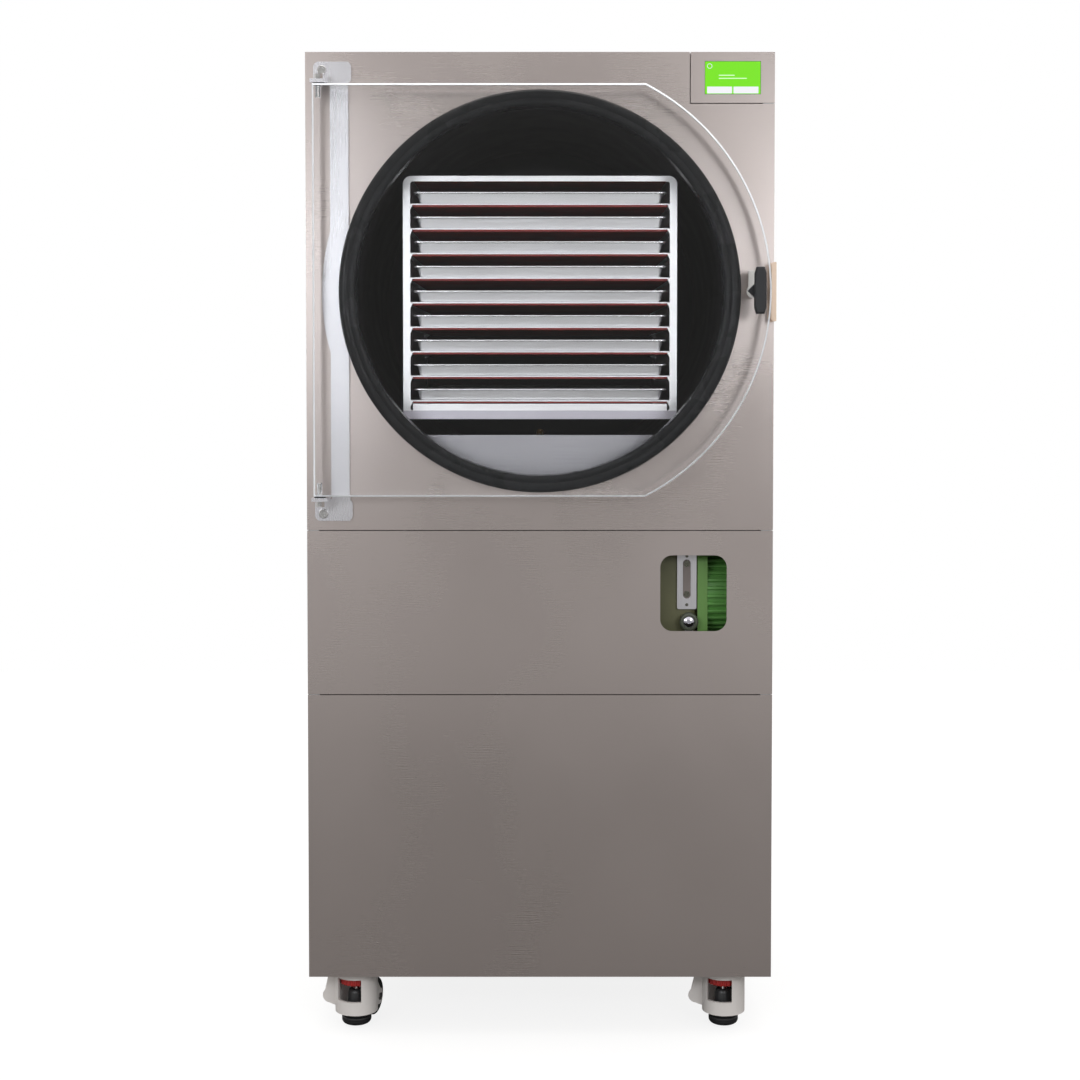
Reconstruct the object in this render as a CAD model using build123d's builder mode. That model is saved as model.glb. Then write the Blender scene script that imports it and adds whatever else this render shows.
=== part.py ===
"""Floor-standing freeze dryer: a sheet-steel cabinet on levelling casters, a round vacuum chamber
behind a thick clear door, a rack of heated shelves with trays, and the pump and refrigeration below.

Millimetres. The user stands at -Y, +X is to the user's right and +Z is up. The origin is on the floor
under the middle of the whole machine, door handle and drain spigot included.
"""

import os
from math import cos, radians, sin, sqrt, tan

from build123d import *

os.makedirs("parts", exist_ok=True)

# ---------------------------------------------------------------- driving dimensions
# Cabinet
cabinet_width = 770.0
cabinet_depth = 900.0
caster_height = 102.0          # floor to the cabinet's lower edge
lower_front_height = 474.0
middle_front_height = 273.0
upper_front_height = 785.0
sheet = 2.0                    # panel sheet
fold = 18.0                    # depth of the panels' folded returns
seam = 1.5                     # gap between neighbouring panels
base_plate = 3.0
base_rim = 38.0
deck_flange = 22.0
saddle_width = 400.0
saddle_thickness = 4.0
saddle_insets = (70.0, 636.0)  # panel face to the drum's two saddles
pump_deck_rise = 61.0          # pump deck's top above the middle front panel's lower edge
chamber_deck_rise = 4.0        # chamber deck's top above the upper front panel's lower edge

# Chamber
chamber_rise = 392.0           # chamber axis above the upper front panel's lower edge
chamber_radius = 308.0
chamber_wall = 3.0
chamber_length = 700.0         # panel face to the inside of the closed end
chamber_rim = 14.0             # the drum's rim, in front of the panel face
chamber_knuckle = 40.0
gasket_radius = 328.0
gasket_lip_radius = 300.0
gasket_reach = 28.0            # sealing face, in front of the panel face
baffle_drop = 236.0            # chamber axis to the baffle's straight edge
baffle_inset = 34.0            # panel face to the baffle's front

# Rack and trays
rack_width = 457.0
rack_height = 405.0
rack_length = 610.0
rack_inset = 52.0              # panel face to the rack's front
rack_corner = 14.0
rack_foot_corner = 6.0
rack_flange = 12.0
rack_flange_corner = 5.0
rack_top_flange = 9.0
rack_bottom_flange = 14.0
tab_reach = 12.0               # shelf tabs lanced from the side walls
tab_height = 9.0
tab_length = 30.0
tab_end_gap = 40.0
gusset_reach = 4.0             # small gussets on the front flange
gusset_height = 9.0
shelf_count = 9
shelf_pitch = 41.0
first_shelf_drop = 45.5        # rack's top to the first shelf's top
shelf_thickness = 2.0
shelf_inset = 6.0              # rack's front to the shelves' front edges
shelf_end_gap = 4.0            # half of what the shelves are shorter than the rack
heater_thickness = 3.0
heater_margin = 4.0            # heater mat's edge to the shelf's, front and rear
tray_gap = 17.5                # rack's outside to the tray's rim
tray_setback = 3.0             # rack's front to the tray's
tray_length = 590.0
tray_height = 19.0
tray_rim = 5.0
tray_corner = 4.0
tray_fold = 3.0                # outer radius where the walls meet the floor
tray_flare = 14.0              # degrees
tray_wall = 1.2

# Door, hinge and latch
door_gap = 0.3                 # door to gasket
door_thickness = 30.0
door_half_height = 333.0
door_arc_radius = 374.0
door_hinge_side = 367.0        # chamber axis to the hinge-side edge
hinge_inset = 9.0              # hinge-side edge to the hinge axis
pin_radius = 4.0
pin_clearance = 0.06
pin_grip = 22.0                # length of pin inside the door
washer_gap = 2.4
strap_thickness = 5.0
strap_width = 30.0
strap_inner = 313.0            # chamber axis to the straight strap's inner edge
lug_width = 62.0
lug_height = 36.0
lug_outer = 371.0              # chamber axis to the lugs' outer edge
ear_thickness = 6.0
latch_offset = 347.0           # chamber axis to the latch spindle
latch_spindle_radius = 6.0
cam_length = 34.0
cam_thickness = 6.0
handle_length = 75.0
handle_width = 18.0
handle_depth = 17.0
handle_offset = 6.0            # spindle to the middle of the handle's bar
handle_end_width = 12.0
handle_taper = 10.0            # length of the bar's narrowed ends
hub_width = 18.0               # across the square hub's flats
hub_length = 13.0
strike_height = 96.0
strike_thickness = 2.5

# Control bezel
bezel_width = 138.0
bezel_height = 83.0
screen_width = 92.0
screen_height = 54.0
screen_from_edge = 69.0        # cabinet's right edge to the screen's middle
screen_from_top = 42.0

# Inspection window and pump
window_width = 110.0
window_height = 126.0
window_corner = 20.0
window_offset = 254.0          # cabinet's middle to the window's middle
window_rise = 168.0            # middle front panel's lower edge to the window's middle
pump_inset = 55.0              # panel face to the pump's front
pump_offset = 11.0             # window's middle to the pump case's right end
pump_case_length = 190.0
pump_case_depth = 130.0
pump_case_height = 160.0
pump_corner = 18.0
pump_foot = 12.0
pump_foot_radius = 12.0
pump_flange = 17.0
flange_overhang = 4.0          # end flange past the case, front and rear
flange_corner = 22.0
port_radius = 10.0
port_height = 26.0
filler_radius = 16.0
filler_height = 12.0
motor_radius = 66.0
motor_length = 88.0
motor_cover = 20.0             # length of the plain end cover
motor_rise = 4.0               # case's middle up to the motor's axis
fin_count = 32
fin_depth = 5.0
fin_width = 6.0
sight_width = 32.5             # sight glass in its frame
sight_height = 94.0
sight_depth = 5.0
sight_offset = -7.0            # from the window's middle
sight_rise = 14.0
slot_length = 67.0
slot_width = 13.6
slot_depth = 2.5
slot_rise = 3.7                # frame's middle to the slot's
knob_radius = 15.8
knob_length = 10.0
knob_stem_radius = 9.0
knob_stem_length = 8.0
knob_offset = -4.0             # from the window's middle
knob_drop = 53.4

# Refrigeration
compressor_radius = 105.0
compressor_height = 290.0
compressor_x = 180.0
compressor_inset = 420.0       # panel face to the compressor's axis
compressor_foot = 16.0
compressor_foot_radius = 14.0
compressor_foot_spacing = 130.0
compressor_dome = 45.0
compressor_bead = 7.0          # weld bead round the shell
condenser_width = 430.0
condenser_height = 330.0
condenser_depth = 60.0
condenser_rise = 30.0          # base pan to the fins
condenser_gap = 26.0           # condenser to the rear posts
condenser_fins = 24
fan_radius = 130.0
fan_clearance = 5.0
fan_blades = 5
blade_pitch = 22.0              # degrees
coil_turns = 6
coil_pitch = 84.0
coil_inset = 150.0             # panel face to the first turn
coil_height = 10.0
coil_width = 16.0
hose_radius = 14.0
suction_radius = 8.0
liquid_radius = 4.0
discharge_radius = 5.0
suction_inset = 33.0           # cabinet's side to the risers' axes
liquid_inset = 40.0

# Rear services
drain_pipe_radius = 11.0
spigot_radius = 6.0
spigot_length = 26.0
valve_length = 34.0
valve_width = 28.0
lever_length = 58.0
lever_width = 12.0
lever_thickness = 4.0
inlet_x = -270.0
inlet_rise = 150.0             # middle front panel's lower edge to the inlet's middle
inlet_cutout = (50.0, 28.0)
inlet_plate = (64.0, 40.0)
inlet_socket = (30.0, 20.0)

# Casters
caster_side_inset = 73.0       # cabinet's side to the swivel axis
caster_front_inset = 62.0
caster_rear_inset = 90.0
caster_heading = 72.0          # degrees from +X towards +Y: where the wheel trails
wheel_radius = 31.5
wheel_width = 25.0
wheel_trail = 56.0
axle_radius = 4.0
turret_radius = 36.0
turret_wall = 5.0
turret_bottom = 26.0           # height above the floor
turret_roof_drop = 15.0        # cabinet's lower edge to the turret's inner roof
turret_window_drop = 15.5      # cabinet's lower edge to the window
turret_window_height = 38.0
turret_window_width = 42.0
lobe_offset = 47.0             # swivel axis to the clamp screw's lobe
lobe_z = 47.0
lobe_radius = 12.0
lobe_thickness = 18.0
kingpin_radius = 10.0
foot_radius = 25.0
foot_thickness = 14.0
foot_neck_radius = 19.0        # the foot's tapered neck, at the pad and at its top
foot_neck_top_radius = 13.0
foot_neck_height = 44.0
stem_radius = 6.0
foot_travel = 8.0
stem_hold = 3.0                # stem left in its bore at full travel
foot_lift = 4.0                # foot's underside above the floor at rest
thumbwheel_radius = 28.0
thumbwheel_thickness = 12.0
thumbwheel_drop = 16.5         # cabinet's lower edge to the thumbwheel
running_clearance = 0.08
press_gap = 0.04
body_clearance = 0.3           # between pieces that move past each other

# ---------------------------------------------------------------- places worked out from them
half_width = cabinet_width / 2
base_z = caster_height
middle_z = base_z + lower_front_height
upper_z = middle_z + middle_front_height
top_z = upper_z + upper_front_height

door_back = gasket_reach + door_gap
door_front = door_back + door_thickness
handle_gap = 0.5
handle_reach = door_front + handle_gap + hub_length + handle_depth
drain_stub = 8.0
drain_reach = drain_stub + valve_length + spigot_length

front_y = -(handle_reach + cabinet_depth + drain_reach) / 2 + handle_reach
rear_y = front_y + cabinet_depth
inner_front_y = front_y + fold + seam
inner_rear_y = rear_y - fold - seam
frame_front_y = inner_front_y + sheet
frame_rear_y = inner_rear_y - sheet
frame_middle_y = (frame_front_y + frame_rear_y) / 2
frame_depth = frame_rear_y - frame_front_y
inner_width = cabinet_width - 2 * sheet

chamber_z = upper_z + chamber_rise
drum_radius = chamber_radius + chamber_wall
chamber_axis = Axis((0, 0, chamber_z), (0, 1, 0))
chamber_deck_z = upper_z + chamber_deck_rise
pump_deck_z = middle_z + pump_deck_rise


def facing(y):
    """Plane at depth y that faces the user: local x is +X, local y is +Z, and it extrudes to -Y."""
    return Plane.XZ.offset(-y)


def level(z):
    """Horizontal plane at height z."""
    return Plane.XY.offset(z)


def folded_panel(plane, width, height, depth=fold, thickness=sheet):
    """Sheet panel whose face lies on plane, with returns folded back from all four edges."""
    with BuildPart() as panel:
        with BuildSketch(plane):
            Rectangle(width, height)
        extrude(amount=-depth)
        inner = panel.faces().sort_by(Axis(plane.origin, plane.z_dir))[0]
        offset(amount=-thickness, openings=inner)
    return panel.part


def front_panel_plane(bottom, height):
    """Plane of a front panel, centred on the panel."""
    return Plane(origin=(0, front_y, bottom + height / 2), x_dir=(1, 0, 0), z_dir=(0, -1, 0))


# ---------------------------------------------------------------- cabinet frame
post_size = fold + seam - sheet
post_x = half_width - sheet - post_size / 2
post_front_y = front_y + sheet + post_size / 2
post_rear_y = rear_y - sheet - post_size / 2
post_places = [(x, y) for x in (-post_x, post_x) for y in (post_front_y, post_rear_y)]
post_height = top_z - base_z - 2 * sheet

with BuildPart() as corner_posts:
    with BuildSketch(level(base_z + sheet)):
        with Locations(*post_places):
            Rectangle(post_size, post_size)
            Rectangle(post_size - 2 * sheet, post_size - 2 * sheet, mode=Mode.SUBTRACT)
    extrude(amount=post_height)
corner_posts.part.label = "corner_posts"
export_step(corner_posts.part, "parts/corner_posts.step")

with BuildPart() as post_space:
    with BuildSketch(level(base_z + sheet)):
        with Locations(*post_places):
            Rectangle(post_size, post_size)
    extrude(amount=post_height)

# Caster seats are bosses under the base pan, bored for the casters' kingpins.
caster_x = half_width - caster_side_inset
caster_places = [
    (-caster_x, front_y + caster_front_inset),
    (caster_x, front_y + caster_front_inset),
    (-caster_x, rear_y - caster_rear_inset),
    (caster_x, rear_y - caster_rear_inset),
]
seat_radius = 32.0
seat_drop = 5.0
seat_z = base_z + sheet - seat_drop
seat_height = 24.0
base_top_z = base_z + sheet + base_plate

with BuildPart() as base_pan:
    with BuildSketch(level(base_z + sheet)):
        with Locations((0, frame_middle_y)):
            Rectangle(inner_width, frame_depth)
    extrude(amount=base_rim)
    offset(amount=-base_plate, openings=base_pan.faces().sort_by(Axis.Z)[-1])
    with BuildSketch(level(seat_z)):
        with Locations(*caster_places):
            Circle(seat_radius)
    extrude(amount=seat_height)
    with BuildSketch(level(seat_z)):
        with Locations(*caster_places):
            Circle(kingpin_radius + running_clearance)
    extrude(amount=seat_height, mode=Mode.SUBTRACT)
base_pan.part.label = "base_pan"
export_step(base_pan.part, "parts/base_pan.step")

# ---------------------------------------------------------------- hose and line routes
pump_y = front_y + pump_inset + pump_case_depth / 2
window_x = window_offset
pump_case_right = window_x + pump_offset
pump_case_left = pump_case_right - pump_case_length
pump_case_x = (pump_case_left + pump_case_right) / 2
pump_bottom_z = pump_deck_z + pump_foot
pump_top_z = pump_bottom_z + pump_case_height
hose_x = pump_case_left + 40.0
coil_first_y = front_y + coil_inset
coil_last_y = coil_first_y + (coil_turns - 1) * coil_pitch
suction_x = half_width - suction_inset
suction_y = coil_last_y + 60.0
liquid_x = half_width - liquid_inset
liquid_y = suction_y + 50.0
line_places = ((suction_x, suction_y), (liquid_x, liquid_y))
line_hole = suction_radius + 3.0

with BuildPart() as pump_deck:
    with BuildSketch(level(pump_deck_z)):
        with Locations((0, frame_middle_y)):
            Rectangle(inner_width, frame_depth)
    extrude(amount=-deck_flange)
    offset(amount=-sheet, openings=pump_deck.faces().sort_by(Axis.Z)[0])
    with BuildSketch(level(pump_deck_z)):
        with Locations(*line_places):
            Circle(line_hole)
    extrude(amount=-deck_flange, mode=Mode.SUBTRACT)
pump_deck.part.label = "pump_deck"
export_step(pump_deck.part, "parts/pump_deck.step")

# Two saddles stand on the chamber deck and carry the drum.
saddle_tip = 20.0                 # flat left at each end of a saddle's arc
saddle_height = chamber_z - sqrt(drum_radius**2 - (saddle_width / 2 - saddle_tip) ** 2) - chamber_deck_z

with BuildPart() as chamber_deck:
    with BuildSketch(level(chamber_deck_z)):
        with Locations((0, frame_middle_y)):
            Rectangle(inner_width, frame_depth)
    extrude(amount=-deck_flange)
    offset(amount=-sheet, openings=chamber_deck.faces().sort_by(Axis.Z)[0])
    for saddle_inset in saddle_insets:
        with BuildSketch(facing(front_y + saddle_inset)):
            with Locations((0, chamber_deck_z + saddle_height / 2)):
                Rectangle(saddle_width, saddle_height)
            with Locations((0, chamber_z)):
                Circle(drum_radius, mode=Mode.SUBTRACT)
        extrude(amount=-saddle_thickness)
    with BuildSketch(level(chamber_deck_z)):
        with Locations(*line_places):
            Circle(line_hole)
        with Locations((hose_x, pump_y)):
            Circle(hose_radius + 4)
    extrude(amount=-deck_flange, mode=Mode.SUBTRACT)
chamber_deck.part.label = "chamber_deck"
export_step(chamber_deck.part, "parts/chamber_deck.step")

# ---------------------------------------------------------------- cabinet skin
bezel_x = half_width - bezel_width / 2
bezel_z = top_z - bezel_height / 2
screen_x = half_width - screen_from_edge
screen_z = top_z - screen_from_top
panel_hole = drum_radius + 1.0

with BuildPart() as upper_front_panel:
    add(folded_panel(front_panel_plane(upper_z, upper_front_height), cabinet_width, upper_front_height))
    add(post_space.part, mode=Mode.SUBTRACT)
    with BuildSketch(facing(front_y)):
        with Locations((0, chamber_z)):
            Circle(panel_hole)
        with Locations((bezel_x, bezel_z)):
            Rectangle(bezel_width + 2 * seam, bezel_height + 2 * seam)
    extrude(amount=-fold, mode=Mode.SUBTRACT)
upper_front_panel.part.label = "upper_front_panel"
export_step(upper_front_panel.part, "parts/upper_front_panel.step")

with BuildPart() as control_bezel:
    add(
        folded_panel(
            Plane(origin=(bezel_x, front_y, bezel_z), x_dir=(1, 0, 0), z_dir=(0, -1, 0)),
            bezel_width,
            bezel_height,
        )
    )
    add(post_space.part, mode=Mode.SUBTRACT)
    with BuildSketch(facing(front_y)):
        with Locations((screen_x, screen_z)):
            Rectangle(screen_width, screen_height)
    extrude(amount=-sheet, mode=Mode.SUBTRACT)
control_bezel.part.label = "control_bezel"
export_step(control_bezel.part, "parts/control_bezel.step")

screen_border = 3.0
screen_back_depth = 14.0
with BuildPart() as touch_screen:
    with BuildSketch(facing(front_y + sheet)):
        with Locations((screen_x, screen_z)):
            Rectangle(screen_width, screen_height)
    extrude(amount=sheet - 0.4)
    with BuildSketch(facing(front_y + sheet)):
        with Locations((screen_x, screen_z)):
            RectangleRounded(screen_width + 2 * screen_border, screen_height + 2 * screen_border, 3)
    extrude(amount=-screen_back_depth)
touch_screen.part.label = "touch_screen"
export_step(touch_screen.part, "parts/touch_screen.step")

middle_height = middle_front_height - seam
window_z = middle_z + window_rise

with BuildPart() as middle_front_panel:
    add(folded_panel(front_panel_plane(middle_z, middle_height), cabinet_width, middle_height))
    add(post_space.part, mode=Mode.SUBTRACT)
    with BuildSketch(facing(front_y)):
        with Locations((window_x, window_z)):
            RectangleRounded(window_width, window_height, window_corner)
    extrude(amount=-sheet, mode=Mode.SUBTRACT)
middle_front_panel.part.label = "middle_front_panel"
export_step(middle_front_panel.part, "parts/middle_front_panel.step")

lower_height = lower_front_height - seam
with BuildPart() as lower_front_panel:
    add(folded_panel(front_panel_plane(base_z, lower_height), cabinet_width, lower_height))
    add(post_space.part, mode=Mode.SUBTRACT)
lower_front_panel.part.label = "lower_front_panel"
export_step(lower_front_panel.part, "parts/lower_front_panel.step")

side_height = top_z - fold - seam - base_z
side_depth = inner_rear_y - inner_front_y
side_middle_y = (inner_front_y + inner_rear_y) / 2
louvre_count = 9
louvre_length = 260.0
louvre_width = 9.0
louvre_pitch = 26.0
louvre_z = base_z + 250.0

for side, name in ((-1, "left_side_panel"), (1, "right_side_panel")):
    side_plane = Plane(
        origin=(side * half_width, side_middle_y, base_z + side_height / 2),
        x_dir=(0, side, 0),
        z_dir=(side, 0, 0),
    )
    with BuildPart() as side_panel:
        add(folded_panel(side_plane, side_depth, side_height))
        with BuildSketch(Plane(origin=(side * half_width, side_middle_y, louvre_z), x_dir=(0, side, 0),
                               z_dir=(side, 0, 0))):
            with GridLocations(0, louvre_pitch, 1, louvre_count):
                SlotOverall(louvre_length, louvre_width)
        extrude(amount=-sheet, mode=Mode.SUBTRACT)
    side_panel.part.label = name
    export_step(side_panel.part, f"parts/{name}.step")

with BuildPart() as top_panel:
    add(folded_panel(Plane(origin=(0, side_middle_y, top_z)), cabinet_width, side_depth))
top_panel.part.label = "top_panel"
export_step(top_panel.part, "parts/top_panel.step")

condenser_z = base_top_z + condenser_rise + condenser_height / 2
grille_slots = 9
grille_pitch = 28.0
inlet_z = middle_z + inlet_rise
drain_x = 0.0
drain_z = chamber_z - chamber_radius + chamber_knuckle + drain_pipe_radius + 1.0

with BuildPart() as rear_panel:
    add(
        folded_panel(
            Plane(origin=(0, rear_y, (base_z + top_z) / 2), x_dir=(-1, 0, 0), z_dir=(0, 1, 0)),
            cabinet_width,
            top_z - base_z,
        )
    )
    add(post_space.part, mode=Mode.SUBTRACT)
    with BuildSketch(facing(rear_y)):
        with Locations((0, condenser_z)):
            with GridLocations(0, grille_pitch, 1, grille_slots):
                SlotOverall(fan_radius * 2, 12)
        with Locations((drain_x, drain_z)):
            Circle(drain_pipe_radius + 2)
        with Locations((inlet_x, inlet_z)):
            Rectangle(*inlet_cutout)
    extrude(amount=sheet, mode=Mode.SUBTRACT)
rear_panel.part.label = "rear_panel"
export_step(rear_panel.part, "parts/rear_panel.step")

# ---------------------------------------------------------------- chamber
# Chamber profiles lie in the level plane through the axis: local x is the radius, local y is depth.
port_bottom_z = chamber_z - sqrt(drum_radius**2 - (hose_x - port_radius) ** 2) - port_height
with BuildPart() as chamber_drum:
    with BuildSketch(level(chamber_z)):
        with BuildLine():
            outer_end = front_y + chamber_length + chamber_wall
            inner_end = front_y + chamber_length
            FilletPolyline(
                (drum_radius, front_y - chamber_rim),
                (drum_radius, outer_end),
                (0, outer_end),
                radius=chamber_knuckle + chamber_wall,
            )
            Line((0, outer_end), (0, inner_end))
            FilletPolyline(
                (0, inner_end),
                (chamber_radius, inner_end),
                (chamber_radius, front_y - chamber_rim),
                radius=chamber_knuckle,
            )
            Line((chamber_radius, front_y - chamber_rim), (drum_radius, front_y - chamber_rim))
        make_face()
    revolve(axis=chamber_axis)
    # vacuum port under the drum, over the pump's inlet
    with BuildSketch(level(port_bottom_z)):
        with Locations((hose_x, pump_y)):
            Circle(port_radius)
    extrude(until=Until.NEXT)
    with BuildSketch(level(port_bottom_z)):
        with Locations((hose_x, pump_y)):
            Circle(port_radius - 2.5)
    extrude(amount=port_height + 4 * chamber_wall, mode=Mode.SUBTRACT)
    # drain hole low in the closed end
    with BuildSketch(facing(outer_end)):
        with Locations((drain_x, drain_z)):
            Circle(drain_pipe_radius - 3)
    extrude(amount=chamber_knuckle, mode=Mode.SUBTRACT)
chamber_drum.part.label = "chamber_drum"
export_step(chamber_drum.part, "parts/chamber_drum.step")

gasket_shoulder = 9.0
gasket_tail = 6.0
with BuildPart() as door_gasket:
    with BuildSketch(level(chamber_z)) as gasket_section:
        with BuildLine():
            Polyline(
                (drum_radius, front_y),
                (gasket_radius, front_y),
                (gasket_radius, front_y - gasket_reach),
                (gasket_lip_radius, front_y - gasket_reach),
                (gasket_lip_radius, front_y + gasket_tail),
                (chamber_radius, front_y + gasket_tail),
                (chamber_radius, front_y - chamber_rim),
                (drum_radius, front_y - chamber_rim),
                close=True,
            )
        make_face()
        outer_shoulder = gasket_section.vertices().group_by(Axis.Y)[0]
        fillet(outer_shoulder, gasket_shoulder)
    revolve(axis=chamber_axis)
door_gasket.part.label = "door_gasket"
export_step(door_gasket.part, "parts/door_gasket.step")

baffle_lip = 12.0
with BuildPart() as chamber_baffle:
    with BuildSketch(facing(front_y + baffle_inset)):
        with Locations((0, chamber_z)):
            Circle(chamber_radius)
        with Locations((0, chamber_z - baffle_drop + chamber_radius)):
            Rectangle(2 * chamber_radius, 2 * chamber_radius, mode=Mode.SUBTRACT)
    extrude(amount=-sheet)
    with BuildSketch(level(chamber_z - baffle_drop)):
        half_chord = sqrt(chamber_radius**2 - (baffle_drop + sheet) ** 2)
        with Locations((0, front_y + baffle_inset + baffle_lip / 2)):
            Rectangle(2 * half_chord - 1, baffle_lip)
    extrude(amount=-sheet)
chamber_baffle.part.label = "chamber_baffle"
export_step(chamber_baffle.part, "parts/chamber_baffle.step")

# The evaporator is flat tube wound on the drum: open turns joined end to end, left and right by turns.
coil_sweep = 340.0
coil_middle = drum_radius + coil_height / 2
link_sweep = 3.0
with BuildPart() as evaporator_coil:
    for turn in range(coil_turns):
        turn_y = coil_first_y + turn * coil_pitch
        with BuildSketch(level(chamber_z)):
            with Locations((coil_middle, turn_y)):
                Rectangle(coil_height, coil_width)
        revolve(axis=chamber_axis, revolution_arc=coil_sweep)
    for turn in range(coil_turns - 1):
        link_angle = 0.0 if turn % 2 else coil_sweep - link_sweep
        with BuildSketch(
            Plane(
                origin=(0, 0, chamber_z),
                x_dir=(cos(radians(link_angle)), 0, -sin(radians(link_angle))),
                z_dir=(sin(radians(link_angle)), 0, cos(radians(link_angle))),
            )
        ):
            with Locations((coil_middle, coil_first_y + (turn + 0.5) * coil_pitch)):
                Rectangle(coil_height, coil_pitch)
        revolve(axis=chamber_axis, revolution_arc=link_sweep)
evaporator_coil.part.label = "evaporator_coil"
export_step(evaporator_coil.part, "parts/evaporator_coil.step")

# ---------------------------------------------------------------- rack
# The rack's rounded lower corners rest in the drum, which sets its height.
rack_foot_z = -sqrt(
    (chamber_radius - body_clearance - rack_foot_corner) ** 2 - (rack_width / 2 - rack_foot_corner) ** 2
)
rack_bottom_z = chamber_z + rack_foot_z - rack_foot_corner
rack_top_z = rack_bottom_z + rack_height
rack_z = (rack_bottom_z + rack_top_z) / 2
rack_front_y = front_y + rack_inset
rack_rear_y = rack_front_y + rack_length
rack_inner_half = rack_width / 2 - sheet
rack_seam_x = rack_width / 2 - rack_corner - 1.0
shelf_tops = [rack_top_z - first_shelf_drop - shelf_pitch * n for n in range(shelf_count)]
shelf_length = rack_length - 2 * shelf_end_gap
shelf_middle_y = rack_front_y + shelf_inset + shelf_length / 2
shelf_width = 2 * rack_inner_half - 1.0
tab_ys = (rack_front_y + tab_end_gap, rack_rear_y - tab_end_gap - tab_length)
kick_gap = 1.0                    # kick strip to the heater over it, and to the seams
kick_setback = 3.0
last_heater_z = shelf_tops[-1] - shelf_thickness - heater_thickness
kick_top_z = last_heater_z - kick_gap


def rack_outline(inset):
    """The rack's section, inset all round, with its four corners rounded."""
    with BuildSketch() as section:
        Rectangle(rack_width - 2 * inset, rack_height - 2 * inset)
        fillet(section.vertices().group_by(Axis.Y)[-1], rack_corner - inset)
        fillet(section.vertices().group_by(Axis.Y)[0], rack_foot_corner - inset)
    return section.sketch


rack_outside = rack_outline(0)
rack_inside = rack_outline(sheet)
with BuildPart() as rack_frame:
    with BuildSketch(facing(rack_front_y)):
        with Locations((0, rack_z)):
            add(rack_outside)
            add(rack_inside, mode=Mode.SUBTRACT)
    extrude(amount=-rack_length)
    # front flange turned inwards all round
    with BuildSketch(facing(rack_front_y)):
        with Locations((0, rack_z)):
            add(rack_outside)
        with Locations((0, rack_z + (rack_bottom_flange - rack_top_flange) / 2)):
            RectangleRounded(
                rack_width - 2 * rack_flange,
                rack_height - rack_bottom_flange - rack_top_flange,
                rack_flange_corner,
                mode=Mode.SUBTRACT,
            )
    extrude(amount=-sheet)
    # gussets on the flange and tabs lanced from the side walls, under every shelf
    supports = [(rack_front_y, sheet, rack_width / 2 - rack_flange, gusset_reach, gusset_height)]
    supports += [(tab_y, tab_length, rack_inner_half, tab_reach, tab_height) for tab_y in tab_ys]
    for support_y, support_length, wall_x, reach, height in supports:
        for side in (-1, 1):
            with BuildSketch(facing(support_y)):
                for shelf_top in shelf_tops:
                    under = shelf_top - shelf_thickness
                    with BuildLine():
                        Polyline(
                            (side * wall_x, under),
                            (side * (wall_x - reach), under),
                            (side * wall_x, under - height),
                            close=True,
                        )
                    make_face()
            extrude(amount=-support_length)
    # kick strip behind the flange, from the bottom flange to the last heater
    with BuildSketch(facing(rack_front_y + kick_setback)):
        with Locations((0, (kick_top_z + rack_bottom_z) / 2)):
            Rectangle(2 * (rack_seam_x - kick_gap), kick_top_z - rack_bottom_z)
    extrude(amount=-sheet)
    # spot-welded seams between the two side walls, the top and the bottom
    with BuildSketch(facing(rack_front_y)):
        with Locations((-rack_seam_x, rack_z), (rack_seam_x, rack_z)):
            Rectangle(press_gap, rack_height)
        with Locations((0, rack_z)):
            Rectangle(
                rack_width,
                rack_height - 2 * (max(rack_top_flange, rack_bottom_flange) + rack_flange_corner),
                mode=Mode.SUBTRACT,
            )
    extrude(amount=-rack_length, mode=Mode.SUBTRACT)
rack_frame.part.label = "rack_frame"
export_step(rack_frame.part, "parts/rack_frame.step")

with BuildPart() as rack_shelves:
    for shelf_top in shelf_tops:
        with BuildSketch(level(shelf_top)):
            with Locations((0, shelf_middle_y)):
                Rectangle(shelf_width, shelf_length)
        extrude(amount=-shelf_thickness)
rack_shelves.part.label = "rack_shelves"
export_step(rack_shelves.part, "parts/rack_shelves.step")

heater_tops = [rack_top_z - sheet] + [top - shelf_thickness for top in shelf_tops]
heater_width = shelf_width - 2 * (tab_reach + 1.0)
with BuildPart() as shelf_heaters:
    for heater_top in heater_tops:
        with BuildSketch(level(heater_top)):
            with Locations((0, shelf_middle_y)):
                Rectangle(heater_width, shelf_length - 2 * heater_margin)
        extrude(amount=-heater_thickness)
shelf_heaters.part.label = "shelf_heaters"
export_step(shelf_heaters.part, "parts/shelf_heaters.step")

tray_width = rack_width - 2 * tray_gap
tray_front_y = rack_front_y + tray_setback
tray_middle_y = tray_front_y + tray_length / 2
tray_slope = tray_height * tan(radians(tray_flare))
tray_floor_width = tray_width - 2 * tray_rim - 2 * tray_slope
tray_floor_length = tray_length - 2 * tray_rim - 2 * tray_slope


def tray_form(inset):
    """Flared block with a rounded lower edge: the tray's outside, or its inside when inset by the wall."""
    with BuildPart() as form:
        with BuildSketch(level(inset)):
            RectangleRounded(tray_floor_width - 2 * inset, tray_floor_length - 2 * inset, tray_corner)
        extrude(amount=tray_height, taper=-tray_flare)
        fillet(form.faces().sort_by(Axis.Z)[0].edges(), tray_fold - inset)
    return form.part


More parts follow.
